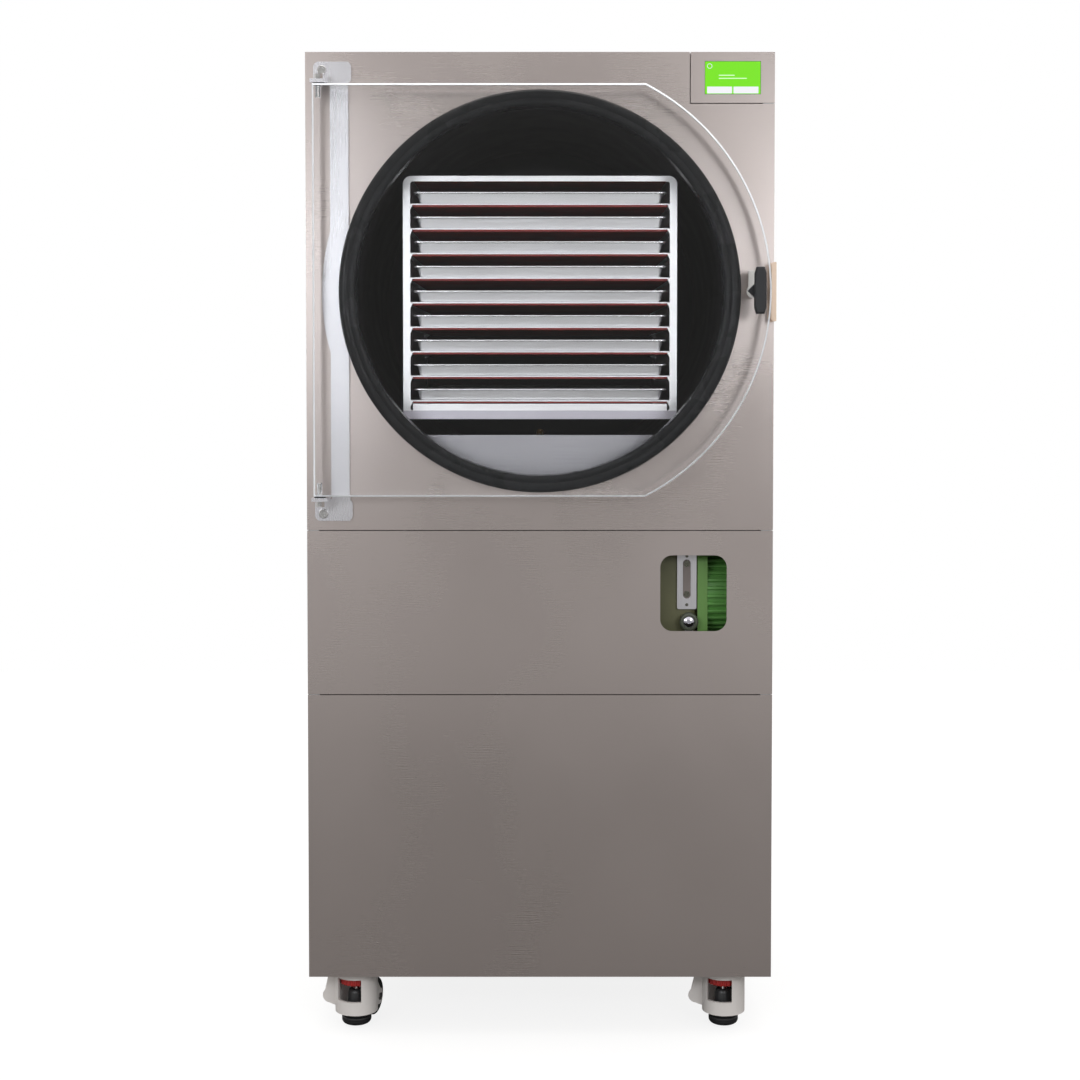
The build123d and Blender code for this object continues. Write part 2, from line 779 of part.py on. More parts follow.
tray_outside = tray_form(0)
tray_inside = tray_form(tray_wall)
for number, shelf_top in enumerate(shelf_tops, start=1):
    with BuildPart() as tray:
        with Locations((0, tray_middle_y, shelf_top)):
            add(tray_outside)
        with BuildSketch(level(shelf_top + tray_height)):
            with Locations((0, tray_middle_y)):
                RectangleRounded(tray_width, tray_length, tray_corner + tray_rim)
        extrude(amount=-tray_wall)
        with Locations((0, tray_middle_y, shelf_top)):
            add(tray_inside, mode=Mode.SUBTRACT)
    name = f"tray_{number}"
    tray.part.label = name
    export_step(tray.part, f"parts/{name}.step")

# ---------------------------------------------------------------- hinge strap and pins
strap_arc_inner = gasket_radius + 2.0
strap_arc_outer = strap_arc_inner + 27.0
hinge_x = -(door_hinge_side - hinge_inset)
hinge_y = front_y - door_back - door_thickness / 2
ear_z = door_half_height + washer_gap
strap_half_height = ear_z + ear_thickness + lug_height - 1.0
lug_x = -(lug_outer - lug_width / 2)
ear_reach = -(hinge_y - front_y) + 10.0
ear_width = 26.0
lug_middle = strap_half_height - lug_height / 2

with BuildPart() as hinge_strap:
    with BuildSketch(facing(front_y)):
        with Locations((-(strap_inner + strap_width / 2), chamber_z)):
            Rectangle(strap_width, 2 * strap_half_height)
        with Locations((0, chamber_z)):
            Circle(strap_arc_outer)
        with Locations((strap_arc_outer - strap_inner, chamber_z)):
            Rectangle(2 * strap_arc_outer, 2 * strap_arc_outer, mode=Mode.SUBTRACT)
        with Locations((-(strap_inner + strap_width / 2), chamber_z)):
            Rectangle(strap_width, 2 * strap_half_height)
        with Locations((0, chamber_z)):
            Circle(strap_arc_inner, mode=Mode.SUBTRACT)
        with Locations((lug_x, chamber_z - lug_middle), (lug_x, chamber_z + lug_middle)):
            RectangleRounded(lug_width, lug_height, 9)
    extrude(amount=strap_thickness)
    # forward ears that hold the hinge pins
    for side in (-1, 1):
        ear_middle_z = chamber_z + side * (ear_z + ear_thickness / 2)
        with BuildSketch(level(ear_middle_z)):
            with Locations((hinge_x, front_y - ear_reach / 2)):
                Rectangle(ear_width, ear_reach)
            with Locations((hinge_x, hinge_y)):
                Circle(pin_radius, mode=Mode.SUBTRACT)
        extrude(amount=ear_thickness / 2, both=True)
hinge_strap.part.label = "hinge_strap"
export_step(hinge_strap.part, "parts/hinge_strap.step")

pin_head_radius = 7.0
pin_head_height = 9.0
with BuildPart() as hinge_pins:
    for side in (-1, 1):
        pin_start = chamber_z + side * (door_half_height - pin_grip + 1.0)
        with BuildSketch(level(pin_start)):
            with Locations((hinge_x, hinge_y)):
                Circle(pin_radius)
        extrude(amount=side * (pin_grip - 1.0 + washer_gap + ear_thickness))
        with BuildSketch(level(chamber_z + side * (ear_z + ear_thickness))):
            with Locations((hinge_x, hinge_y)):
                RegularPolygon(pin_head_radius, 6)
        extrude(amount=side * pin_head_height)
hinge_pins.part.label = "hinge_pins"
export_step(hinge_pins.part, "parts/hinge_pins.step")

# ---------------------------------------------------------------- door
with BuildPart() as door_plate:
    with BuildSketch(facing(front_y - door_back)):
        with Locations((0, chamber_z)):
            Circle(door_arc_radius)
            Rectangle(2 * door_arc_radius, 2 * door_half_height, mode=Mode.INTERSECT)
        with Locations((-door_hinge_side / 2, chamber_z)):
            Rectangle(door_hinge_side, 2 * door_half_height)
        with Locations((-door_hinge_side - door_arc_radius / 2, chamber_z)):
            Rectangle(door_arc_radius, 2 * door_half_height, mode=Mode.SUBTRACT)
        with Locations((latch_offset, chamber_z)):
            Circle(latch_spindle_radius + running_clearance, mode=Mode.SUBTRACT)
    extrude(amount=door_thickness)
    for side in (-1, 1):
        with BuildSketch(level(chamber_z + side * door_half_height)):
            with Locations((hinge_x, hinge_y)):
                Circle(pin_radius + pin_clearance)
        extrude(amount=-side * pin_grip, mode=Mode.SUBTRACT)
door_plate.part.label = "door_plate"
export_step(door_plate.part, "parts/door_plate.step")

# ---------------------------------------------------------------- latch
cam_front = front_y - door_back + 0.5
cam_width = 16.0
handle_base_y = front_y - door_front - handle_gap
with BuildPart() as latch_handle:
    with BuildSketch(facing(handle_base_y)):
        with Locations((latch_offset, chamber_z)):
            RectangleRounded(hub_width, hub_width, 1.5, rotation=45)
    extrude(amount=hub_length)
    with BuildSketch(facing(handle_base_y - hub_length)):
        with Locations((latch_offset + handle_offset, chamber_z)):
            Rectangle(handle_width, handle_length - 2 * handle_taper)
            Rectangle(handle_end_width, handle_length)
        make_hull()
    extrude(amount=handle_depth)
    fillet(latch_handle.edges().group_by(Axis.Y)[0], 3)
    with BuildSketch(facing(cam_front)):
        with Locations((latch_offset, chamber_z)):
            Circle(latch_spindle_radius)
    extrude(amount=cam_front - handle_base_y)
latch_handle.part.label = "latch_handle"
export_step(latch_handle.part, "parts/latch_handle.step")

with BuildPart() as latch_cam:
    with BuildSketch(facing(cam_front)):
        with Locations((latch_offset, chamber_z)):
            Circle(cam_width / 2 + 3)
        with Locations((latch_offset, chamber_z + cam_length / 2)):
            Rectangle(cam_width, cam_length)
    extrude(amount=-cam_thickness)
    chamfer(latch_cam.edges().filter_by(Axis.X).group_by(Axis.Z)[-1], 1.5)
latch_cam.part.label = "latch_cam"
export_step(latch_cam.part, "parts/latch_cam.step")

# The strike stands on the panel beside the door's edge, with a lip in front of the cam.
strike_foot = 12.0
strike_lip = 8.0
strike_wall_x = half_width - strike_thickness
lip_back = cam_front - 0.9
with BuildPart() as latch_strike:
    with BuildSketch(level(chamber_z)):
        with BuildLine():
            Polyline(
                (half_width - strike_foot, front_y),
                (half_width, front_y),
                (half_width, lip_back - strike_thickness),
                (half_width - strike_lip, lip_back - strike_thickness),
                (half_width - strike_lip, lip_back),
                (strike_wall_x, lip_back),
                (strike_wall_x, front_y - strike_thickness),
                (half_width - strike_foot, front_y - strike_thickness),
                close=True,
            )
        make_face()
    extrude(amount=strike_height / 2, both=True)
    corners_by_x = latch_strike.edges().filter_by(Axis.Y).group_by(Axis.X)
    fillet(corners_by_x[0], 6)
    fillet(latch_strike.edges().filter_by(Axis.Y).filter_by_position(
        Axis.X, half_width - strike_lip - 0.1, half_width - strike_lip + 0.1), 4)
latch_strike.part.label = "latch_strike"
export_step(latch_strike.part, "parts/latch_strike.step")

# ---------------------------------------------------------------- vacuum pump
flange_right = pump_case_right + pump_flange
motor_z = pump_bottom_z + pump_case_height / 2 + motor_rise
motor_length_finned = motor_length - motor_cover
fused = 4.0                       # how far the parts on the case's top reach into it
with BuildPart() as pump_body:
    with BuildSketch(level(pump_bottom_z)):
        with Locations((pump_case_x, pump_y)):
            RectangleRounded(pump_case_length, pump_case_depth, pump_corner)
    extrude(amount=pump_case_height)
    fillet(pump_body.faces().sort_by(Axis.Z)[-1].edges(), 12)
    # end flange that the motor bolts to
    with BuildSketch(Plane.YZ.offset(pump_case_right)):
        with Locations((pump_y, motor_z)):
            RectangleRounded(
                pump_case_depth + 2 * flange_overhang,
                pump_case_height - motor_rise,
                flange_corner,
            )
    extrude(amount=pump_flange)
    # oil filler cap and inlet port on top
    with BuildSketch(level(pump_top_z - fused)):
        with Locations((pump_case_right - 2.6 * filler_radius, pump_y)):
            Circle(filler_radius)
    extrude(amount=filler_height + fused)
    fillet(pump_body.faces().sort_by(Axis.Z)[-1].edges(), 4)
    with BuildSketch(level(pump_top_z - fused)):
        with Locations((hose_x, pump_y)):
            Circle(port_radius)
    extrude(amount=port_height + fused)
    # feet
    with BuildSketch(level(pump_deck_z)):
        with Locations((pump_case_x, pump_y)):
            with GridLocations(
                pump_case_length - 5 * pump_foot_radius,
                pump_case_depth - 3.5 * pump_foot_radius,
                2,
                2,
            ):
                Circle(pump_foot_radius)
    extrude(amount=pump_foot)
pump_body.part.label = "pump_body"
export_step(pump_body.part, "parts/pump_body.step")

with BuildPart() as pump_motor:
    with BuildSketch(Plane.YZ.offset(flange_right)):
        with Locations((pump_y, motor_z)):
            Circle(motor_radius)
            with PolarLocations(motor_radius + fin_depth / 2 - 1, fin_count):
                RectangleRounded(fin_depth + 2, fin_width, 2)
    extrude(amount=motor_length_finned)
    with BuildSketch(Plane.YZ.offset(flange_right + motor_length_finned)):
        with Locations((pump_y, motor_z)):
            Circle(motor_radius + fin_depth - 1)
    extrude(amount=motor_cover)
    fillet(pump_motor.faces().sort_by(Axis.X)[-1].edges(), 8)
pump_motor.part.label = "pump_motor"
export_step(pump_motor.part, "parts/pump_motor.step")

pump_front_y = pump_y - pump_case_depth / 2
sight_x = window_x + sight_offset
sight_z = window_z + sight_rise
with BuildPart() as pump_sight_glass:
    with BuildSketch(facing(pump_front_y)):
        with Locations((sight_x, sight_z)):
            RectangleRounded(sight_width, sight_height, 3)
    extrude(amount=sight_depth)
    with BuildSketch(facing(pump_front_y - sight_depth)):
        with Locations((sight_x, sight_z + slot_rise)):
            SlotOverall(slot_length, slot_width, rotation=90)
    extrude(amount=-slot_depth, mode=Mode.SUBTRACT)
pump_sight_glass.part.label = "pump_sight_glass"
export_step(pump_sight_glass.part, "parts/pump_sight_glass.step")

knob_x = window_x + knob_offset
knob_z = window_z - knob_drop
with BuildPart() as pump_drain_knob:
    with BuildSketch(facing(pump_front_y)):
        with Locations((knob_x, knob_z)):
            Circle(knob_stem_radius)
    extrude(amount=knob_stem_length)
    with BuildSketch(facing(pump_front_y - knob_stem_length)):
        with Locations((knob_x, knob_z)):
            Circle(knob_radius)
    extrude(amount=knob_length)
    fillet(pump_drain_knob.faces().sort_by(Axis.Y)[0].edges(), 4)
pump_drain_knob.part.label = "pump_drain_knob"
export_step(pump_drain_knob.part, "parts/pump_drain_knob.step")

# The bellows hose pushes over the pump's inlet port and the drum's port.
hose_bottom_z = pump_top_z + 4.0
hose_height = port_bottom_z + port_height - 4.0 - hose_bottom_z
hose_cuff = 24.0
rib_count = 9
rib_pitch = (hose_height - 2 * hose_cuff) / rib_count
with BuildPart() as vacuum_hose:
    with BuildSketch(level(hose_bottom_z)):
        with Locations((hose_x, pump_y)):
            Circle(hose_radius - 1.5)
    extrude(amount=hose_height)
    for rib in range(rib_count):
        with BuildSketch(level(hose_bottom_z + hose_cuff + rib_pitch * (rib + 0.25))):
            with Locations((hose_x, pump_y)):
                Circle(hose_radius)
        extrude(amount=rib_pitch / 2)
    with BuildSketch(level(hose_bottom_z)):
        with Locations((hose_x, pump_y)):
            Circle(port_radius)
    extrude(amount=hose_height, mode=Mode.SUBTRACT)
vacuum_hose.part.label = "vacuum_hose"
export_step(vacuum_hose.part, "parts/vacuum_hose.step")

# ---------------------------------------------------------------- refrigeration
compressor_y = front_y + compressor_inset
compressor_z = base_top_z + compressor_foot
with BuildPart() as compressor:
    with BuildSketch(Plane(origin=(compressor_x, compressor_y, 0), x_dir=(1, 0, 0), z_dir=(0, -1, 0))):
        with BuildLine():
            FilletPolyline(
                (0, compressor_z),
                (compressor_radius, compressor_z),
                (compressor_radius, compressor_z + compressor_height),
                (0, compressor_z + compressor_height),
                radius=compressor_dome,
            )
            Line((0, compressor_z + compressor_height), (0, compressor_z))
        make_face()
        with Locations((compressor_radius / 2, compressor_z + compressor_height / 2)):
            Rectangle(compressor_radius + compressor_bead, compressor_bead)
    revolve(axis=Axis((compressor_x, compressor_y, 0), (0, 0, 1)))
    with BuildSketch(level(base_top_z)):
        with Locations((compressor_x, compressor_y)):
            with GridLocations(compressor_foot_spacing, compressor_foot_spacing, 2, 2):
                Circle(compressor_foot_radius)
    extrude(amount=compressor_foot + 40)
    with BuildSketch(level(compressor_z + compressor_height - 8)):
        with Locations((compressor_x, compressor_y)):
            Circle(suction_radius + 2)
    extrude(amount=26)
compressor.part.label = "compressor"
export_step(compressor.part, "parts/compressor.step")

condenser_rear_y = frame_rear_y - condenser_gap
condenser_front_y = condenser_rear_y - condenser_depth
condenser_bottom_z = condenser_z - condenser_height / 2
fin_pitch = (condenser_width - 20) / condenser_fins
with BuildPart() as condenser_coil:
    with BuildSketch(level(base_top_z)):
        with Locations((0, (condenser_front_y + condenser_rear_y) / 2)):
            with GridLocations(condenser_width, 0, 2, 1):
                Rectangle(4, condenser_depth)
    extrude(amount=condenser_bottom_z + condenser_height - base_top_z)
    with BuildSketch(level(condenser_bottom_z)):
        with Locations((0, (condenser_front_y + condenser_rear_y) / 2)):
            with GridLocations(fin_pitch, 0, condenser_fins, 1):
                Rectangle(1.5, condenser_depth - 8)
            Rectangle(condenser_width, condenser_depth - 30)
    extrude(amount=condenser_height)
condenser_coil.part.label = "condenser_coil"
export_step(condenser_coil.part, "parts/condenser_coil.step")

# Suction line up to the coil's last turn, liquid line up to its first, discharge line to the condenser.
suction_start_z = compressor_z + compressor_height + 18.0
discharge_x = compressor_x - 45.0
discharge_y = compressor_y + 20.0
condenser_middle_y = (condenser_front_y + condenser_rear_y) / 2
condenser_top_z = condenser_bottom_z + condenser_height
coil_end_x = drum_radius + suction_radius + 1.5
liquid_end_x = drum_radius + coil_height / 2
with BuildPart() as refrigerant_lines:
    with BuildLine() as suction_route:
        FilletPolyline(
            (compressor_x, compressor_y, suction_start_z),
            (compressor_x, compressor_y, suction_start_z + 60),
            (suction_x, suction_y, suction_start_z + 60),
            (suction_x, suction_y, chamber_z + 70),
            (coil_end_x, coil_last_y, chamber_z + 70),
            (coil_end_x, coil_last_y, chamber_z),
            radius=20,
        )
    with BuildSketch(Plane(origin=(compressor_x, compressor_y, suction_start_z))):
        Circle(suction_radius)
    sweep(path=suction_route.wires()[0])
    with BuildLine() as liquid_route:
        FilletPolyline(
            (condenser_width / 2 + 2, condenser_middle_y, condenser_top_z - 20),
            (liquid_x, condenser_middle_y, condenser_top_z - 20),
            (liquid_x, liquid_y, condenser_top_z + 40),
            (liquid_x, liquid_y, chamber_z + 100),
            (liquid_x, coil_first_y, chamber_z + 100),
            (liquid_end_x, coil_first_y, chamber_z + 100),
            (liquid_end_x, coil_first_y, chamber_z),
            radius=12,
        )
    with BuildSketch(Plane(origin=liquid_route.wires()[0] @ 0, z_dir=(1, 0, 0))):
        Circle(liquid_radius)
    sweep(path=liquid_route.wires()[0])
    with BuildLine() as discharge_route:
        FilletPolyline(
            (discharge_x, discharge_y, compressor_z + compressor_height),
            (discharge_x, discharge_y, condenser_top_z + 30),
            (discharge_x, condenser_middle_y, condenser_top_z + 30),
            (discharge_x, condenser_middle_y, condenser_top_z),
            radius=14,
        )
    with BuildSketch(Plane(origin=discharge_route.wires()[0] @ 0)):
        Circle(discharge_radius)
    sweep(path=discharge_route.wires()[0])
refrigerant_lines.part.label = "refrigerant_lines"
export_step(refrigerant_lines.part, "parts/refrigerant_lines.step")

shroud_depth = 50.0
shroud_front_y = condenser_front_y - shroud_depth
motor_case_radius = 38.0
with BuildPart() as fan_shroud:
    add(
        folded_panel(
            Plane(origin=(0, shroud_front_y, condenser_z), x_dir=(1, 0, 0), z_dir=(0, -1, 0)),
            condenser_width + 4,
            condenser_height,
            depth=shroud_depth,
        )
    )
    with BuildSketch(facing(shroud_front_y)):
        with Locations((0, condenser_z)):
            Circle(fan_radius + fan_clearance)
    extrude(amount=-sheet, mode=Mode.SUBTRACT)
    with BuildSketch(facing(shroud_front_y)):
        with Locations((0, condenser_z)):
            Circle(fan_radius + fan_clearance + sheet)
            Circle(fan_radius + fan_clearance, mode=Mode.SUBTRACT)
    extrude(amount=-30)
    # motor on a cross bar in front of the ring
    with BuildSketch(facing(shroud_front_y)):
        with Locations((0, condenser_z)):
            Rectangle(2 * (fan_radius + fan_clearance) + 30, 22)
    extrude(amount=6)
    with BuildSketch(facing(shroud_front_y - 6)):
        with Locations((0, condenser_z)):
            Circle(motor_case_radius)
    extrude(amount=48)
    with BuildSketch(facing(shroud_front_y)):
        with Locations((0, condenser_z)):
            Circle(5)
    extrude(amount=-22)
fan_shroud.part.label = "fan_shroud"
export_step(fan_shroud.part, "parts/fan_shroud.step")

fan_hub_radius = 26.0
fan_hub_length = 24.0
with BuildPart() as condenser_fan:
    with BuildSketch(facing(shroud_front_y + 4)):
        with Locations((0, condenser_z)):
            Circle(fan_hub_radius)
            Circle(5 + running_clearance, mode=Mode.SUBTRACT)
    extrude(amount=-fan_hub_length)
    for blade in range(fan_blades):
        turn = radians(360.0 / fan_blades * blade)
        pitch = radians(blade_pitch)
        blade_plane = Plane(
            origin=(0, shroud_front_y + 4 + fan_hub_length / 2, condenser_z),
            x_dir=(sin(turn), 0, cos(turn)),
            z_dir=(sin(pitch) * cos(turn), -cos(pitch), -sin(pitch) * sin(turn)),
        )
        with BuildSketch(blade_plane):
            with BuildLine():
                Polyline(
                    (fan_hub_radius - 6, -9),
                    (fan_hub_radius - 6, 9),
                    (fan_radius - 12, 30),
                    (fan_radius - 6, -14),
                    close=True,
                )
            make_face()
        extrude(amount=1.2, both=True)
condenser_fan.part.label = "condenser_fan"
export_step(condenser_fan.part, "parts/condenser_fan.step")

# ---------------------------------------------------------------- rear services
with BuildPart() as mains_inlet:
    with BuildSketch(facing(rear_y)):
        with Locations((inlet_x, inlet_z)):
            RectangleRounded(*inlet_plate, 4)
    extrude(amount=-3)
    with BuildSketch(facing(rear_y)):
        with Locations((inlet_x, inlet_z)):
            Rectangle(inlet_cutout[0] - 2 * body_clearance, inlet_cutout[1] - 2 * body_clearance)
    extrude(amount=24)
    with BuildSketch(facing(rear_y + 3)):
        with Locations((inlet_x, inlet_z)):
            RectangleRounded(*inlet_socket, 3)
    extrude(amount=20, mode=Mode.SUBTRACT)
    with BuildSketch(facing(rear_y - 17)):
        with Locations((inlet_x - 8, inlet_z - 3), (inlet_x + 8, inlet_z - 3), (inlet_x, inlet_z + 4)):
            Rectangle(2, 5)
    extrude(amount=-15)
mains_inlet.part.label = "mains_inlet"
export_step(mains_inlet.part, "parts/mains_inlet.step")

valve_front_y = rear_y + drain_stub
valve_y = valve_front_y + valve_length / 2
spigot_end_y = valve_front_y + valve_length + spigot_length
valve_collar = 6.0
lever_seat_z = drain_z + valve_width / 2 + valve_collar
lever_stem_radius = 4.0
with BuildPart() as drain_valve:
    with BuildSketch(facing(outer_end)):
        with Locations((drain_x, drain_z)):
            Circle(drain_pipe_radius)
            Circle(drain_pipe_radius - 3, mode=Mode.SUBTRACT)
    extrude(amount=-(valve_front_y - outer_end))
    with BuildSketch(facing(valve_front_y)):
        with Locations((drain_x, drain_z)):
            RectangleRounded(valve_width, valve_width, 6)
    extrude(amount=-valve_length)
    with BuildSketch(level(drain_z)):
        with Locations((drain_x, valve_y)):
            Circle(valve_collar + 3)
    extrude(amount=valve_width / 2 + valve_collar)
    with BuildSketch(level(lever_seat_z)):
        with Locations((drain_x, valve_y)):
            Circle(lever_stem_radius)
    extrude(amount=lever_thickness + 3)
    with BuildSketch(facing(valve_front_y + valve_length)):
        with Locations((drain_x, drain_z)):
            Circle(spigot_radius)
    extrude(amount=-spigot_length)
    with BuildSketch(facing(spigot_end_y)):
        with Locations((drain_x, drain_z)):
            Circle(spigot_radius - 2)
    extrude(amount=spigot_length + 8, mode=Mode.SUBTRACT)
drain_valve.part.label = "drain_valve"
export_step(drain_valve.part, "parts/drain_valve.step")

lever_base_z = lever_seat_z + body_clearance
with BuildPart() as drain_lever:
    with BuildSketch(level(lever_base_z)):
        with Locations((drain_x, valve_y)):
            Circle(valve_collar + 3)
        with Locations((drain_x - lever_length / 2, valve_y)):
            SlotOverall(lever_length, lever_width)
        with Locations((drain_x, valve_y)):
            Circle(lever_stem_radius + running_clearance, mode=Mode.SUBTRACT)
    extrude(amount=lever_thickness)
drain_lever.part.label = "drain_lever"
export_step(drain_lever.part, "parts/drain_lever.step")

# ---------------------------------------------------------------- casters
# All four casters trail the same way, so they share their directions.
heading = radians(caster_heading)
trail = Vector(cos(heading), sin(heading), 0)
side_dir = Vector(-sin(heading), cos(heading), 0)
housing_top = seat_z - body_clearance
wheel_gap = wheel_width + 2 * 1.0
cheek_thickness = 5.0
half_fork = wheel_gap / 2 + cheek_thickness
axle_point = (wheel_trail, wheel_radius)
arm_radius = 14.0
arm_root = turret_radius - 8.0    # where the arm and the lobe leave the turret
turret_roof = caster_height - turret_roof_drop
window_middle_z = caster_height - turret_window_drop - turret_window_height / 2
thumbwheel_top = caster_height - thumbwheel_drop
stem_top = turret_roof + foot_travel + stem_hold
neck_bottom_z = foot_lift + foot_thickness


def swivel_level(swivel, z):
    """Level plane at height z on a swivel axis: local x runs to the wheel."""
    return Plane(origin=swivel + Vector(0, 0, z), x_dir=trail, z_dir=(0, 0, 1))


for number, (swivel_x, swivel_y) in enumerate(caster_places, start=1):
    swivel = Vector(swivel_x, swivel_y, 0)
    # Upright planes through the swivel axis: local y is up, local x is the trail or the side.
    wheel_plane = Plane(origin=swivel, x_dir=trail, z_dir=-side_dir)
    cross_plane = Plane(origin=swivel, x_dir=side_dir, z_dir=trail)

    with BuildPart() as housing:
        with BuildSketch(swivel_level(swivel, turret_bottom)):
            Circle(turret_radius)
        extrude(amount=housing_top - turret_bottom)
        fillet(housing.faces().sort_by(Axis.Z)[-1].edges(), 5)
        # arm to the wheel
        with BuildSketch(wheel_plane):
            with BuildLine():
                arm_arc = CenterArc(axle_point, arm_radius, -90, 165)
                Polyline(
                    arm_arc @ 1,
                    (arm_root, turret_roof),
                    (0, turret_roof),
                    (0, turret_bottom),
                    (arm_root, turret_bottom),
                    arm_arc @ 0,
                )
            make_face()
        extrude(amount=half_fork, both=True)
        # lobe with the clamp screw, ribbed up to the top
        with BuildSketch(cross_plane):
            with BuildLine():
                lobe_arc = CenterArc((lobe_offset, lobe_z), lobe_radius, -90, 140)
                Polyline(
                    lobe_arc @ 1,
                    (lobe_offset, housing_top - 10),
                    (arm_root, housing_top - 4),
                    (arm_root, turret_bottom + 4),
                    lobe_arc @ 0,
                )
            make_face()
        extrude(amount=lobe_thickness / 2, both=True)
        # cavity for the foot, wheel well, thumbwheel window and stem bore
        with BuildSketch(swivel_level(swivel, 0)):
            Circle(turret_radius - turret_wall)
        extrude(amount=turret_roof, mode=Mode.SUBTRACT)
        with BuildSketch(wheel_plane):
            with Locations(axle_point):
                Circle(wheel_radius + 2.5)
        extrude(amount=wheel_gap / 2, both=True, mode=Mode.SUBTRACT)
        with BuildSketch(cross_plane):
            with Locations((0, window_middle_z)):
                Rectangle(turret_window_width, turret_window_height)
        extrude(amount=-(turret_radius + 1), mode=Mode.SUBTRACT)
        with BuildSketch(swivel_level(swivel, housing_top)):
            Circle(kingpin_radius)
        extrude(amount=seat_height - 4)
        with BuildSketch(swivel_level(swivel, turret_roof)):
            Circle(stem_radius + running_clearance)
        extrude(amount=stem_top - turret_roof + 2, mode=Mode.SUBTRACT)
        # axle, a piece of its own held in the cheeks
        with BuildSketch(wheel_plane):
            with Locations(axle_point):
                Circle(axle_radius + press_gap)
        extrude(amount=half_fork, both=True, mode=Mode.SUBTRACT)
        with BuildSketch(wheel_plane):
            with Locations(axle_point):
                Circle(axle_radius)
        extrude(amount=half_fork, both=True)
    name = f"caster_{number}_housing"
    housing.part.label = name
    export_step(housing.part, f"parts/{name}.step")

    with BuildPart() as wheel:
        with BuildSketch(wheel_plane):
            with Locations(axle_point):
                Circle(wheel_radius)
        extrude(amount=wheel_width / 2, both=True)
        fillet(wheel.edges().filter_by(GeomType.CIRCLE), 3)
        with BuildSketch(wheel_plane):
            with Locations(axle_point):
                Circle(axle_radius + running_clearance)
        extrude(amount=wheel_width, both=True, mode=Mode.SUBTRACT)
    name = f"caster_{number}_wheel"
    wheel.part.label = name
    export_step(wheel.part, f"parts/{name}.step")

    with BuildPart() as foot:
        with BuildSketch(swivel_level(swivel, foot_lift)):
            Circle(foot_radius)
        extrude(amount=foot_thickness)
        fillet(foot.faces().sort_by(Axis.Z)[0].edges(), 5)
        # tapered neck and threaded stem
        with BuildSketch(swivel_level(swivel, neck_bottom_z)):
            Circle(foot_neck_radius)
        with BuildSketch(swivel_level(swivel, neck_bottom_z + foot_neck_height)):
            Circle(foot_neck_top_radius)
        loft()
        with BuildSketch(swivel_level(swivel, neck_bottom_z)):
            Circle(stem_radius)
        extrude(amount=stem_top - neck_bottom_z)
        # thumbwheel, pressed on the stem
        with BuildSketch(swivel_level(swivel, thumbwheel_top)):
            Circle(thumbwheel_radius)
            Circle(stem_radius + press_gap, mode=Mode.SUBTRACT)
        extrude(amount=-thumbwheel_thickness)
    name = f"caster_{number}_foot"
    foot.part.label = name
    export_step(foot.part, f"parts/{name}.step")
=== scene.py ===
"""Looks for the freeze dryer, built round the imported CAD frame. Metres, in the frame's axes."""

import math

import bmesh
import bpy
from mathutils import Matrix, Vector


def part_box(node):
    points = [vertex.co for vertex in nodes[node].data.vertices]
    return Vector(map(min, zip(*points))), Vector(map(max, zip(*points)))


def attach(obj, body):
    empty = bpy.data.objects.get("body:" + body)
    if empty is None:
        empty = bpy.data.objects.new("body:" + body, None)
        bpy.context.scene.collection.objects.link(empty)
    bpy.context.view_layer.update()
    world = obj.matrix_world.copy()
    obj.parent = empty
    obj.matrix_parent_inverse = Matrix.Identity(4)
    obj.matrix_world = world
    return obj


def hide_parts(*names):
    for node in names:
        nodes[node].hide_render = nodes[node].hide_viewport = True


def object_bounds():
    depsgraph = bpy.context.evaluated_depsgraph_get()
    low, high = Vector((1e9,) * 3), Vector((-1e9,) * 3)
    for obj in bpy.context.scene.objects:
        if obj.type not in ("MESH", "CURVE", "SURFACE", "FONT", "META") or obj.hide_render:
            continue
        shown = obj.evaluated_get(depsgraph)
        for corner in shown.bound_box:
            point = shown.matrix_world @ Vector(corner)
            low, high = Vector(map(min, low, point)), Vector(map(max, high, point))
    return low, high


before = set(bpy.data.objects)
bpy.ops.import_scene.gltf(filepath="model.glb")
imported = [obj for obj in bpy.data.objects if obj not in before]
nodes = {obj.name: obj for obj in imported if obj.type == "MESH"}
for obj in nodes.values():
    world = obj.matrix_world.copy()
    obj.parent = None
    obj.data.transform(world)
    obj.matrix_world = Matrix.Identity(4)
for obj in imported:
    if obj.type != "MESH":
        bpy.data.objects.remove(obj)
cad_low, cad_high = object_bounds()
MM = 0.001


# ---------------------------------------------------------------- places read from the frame
def low(node):
    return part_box(node)[0]


def high(node):
    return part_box(node)[1]


def middle(node):
    return (low(node) + high(node)) / 2


front_y = low("lower_front_panel").y
rear_y = high("rear_panel").y
gasket_radius = (high("door_gasket").x - low("door_gasket").x) / 2
chamber_z = middle("door_gasket").z
cabinet_bottom = low("lower_front_panel").z


# ---------------------------------------------------------------- materials
def new_material(name, colour, metallic=0.0, roughness=0.5, **sockets):
    """Principled material with plain values on the shader's own sockets."""
    material = bpy.data.materials.new(name)
    material.use_nodes = True
    shader = material.node_tree.nodes["Principled BSDF"]
    shader.inputs["Base Color"].default_value = (*colour, 1)
    shader.inputs["Metallic"].default_value = metallic
    shader.inputs["Roughness"].default_value = roughness
    for socket, value in sockets.items():
        shader.inputs[socket.replace("_", " ")].default_value = value
    return material


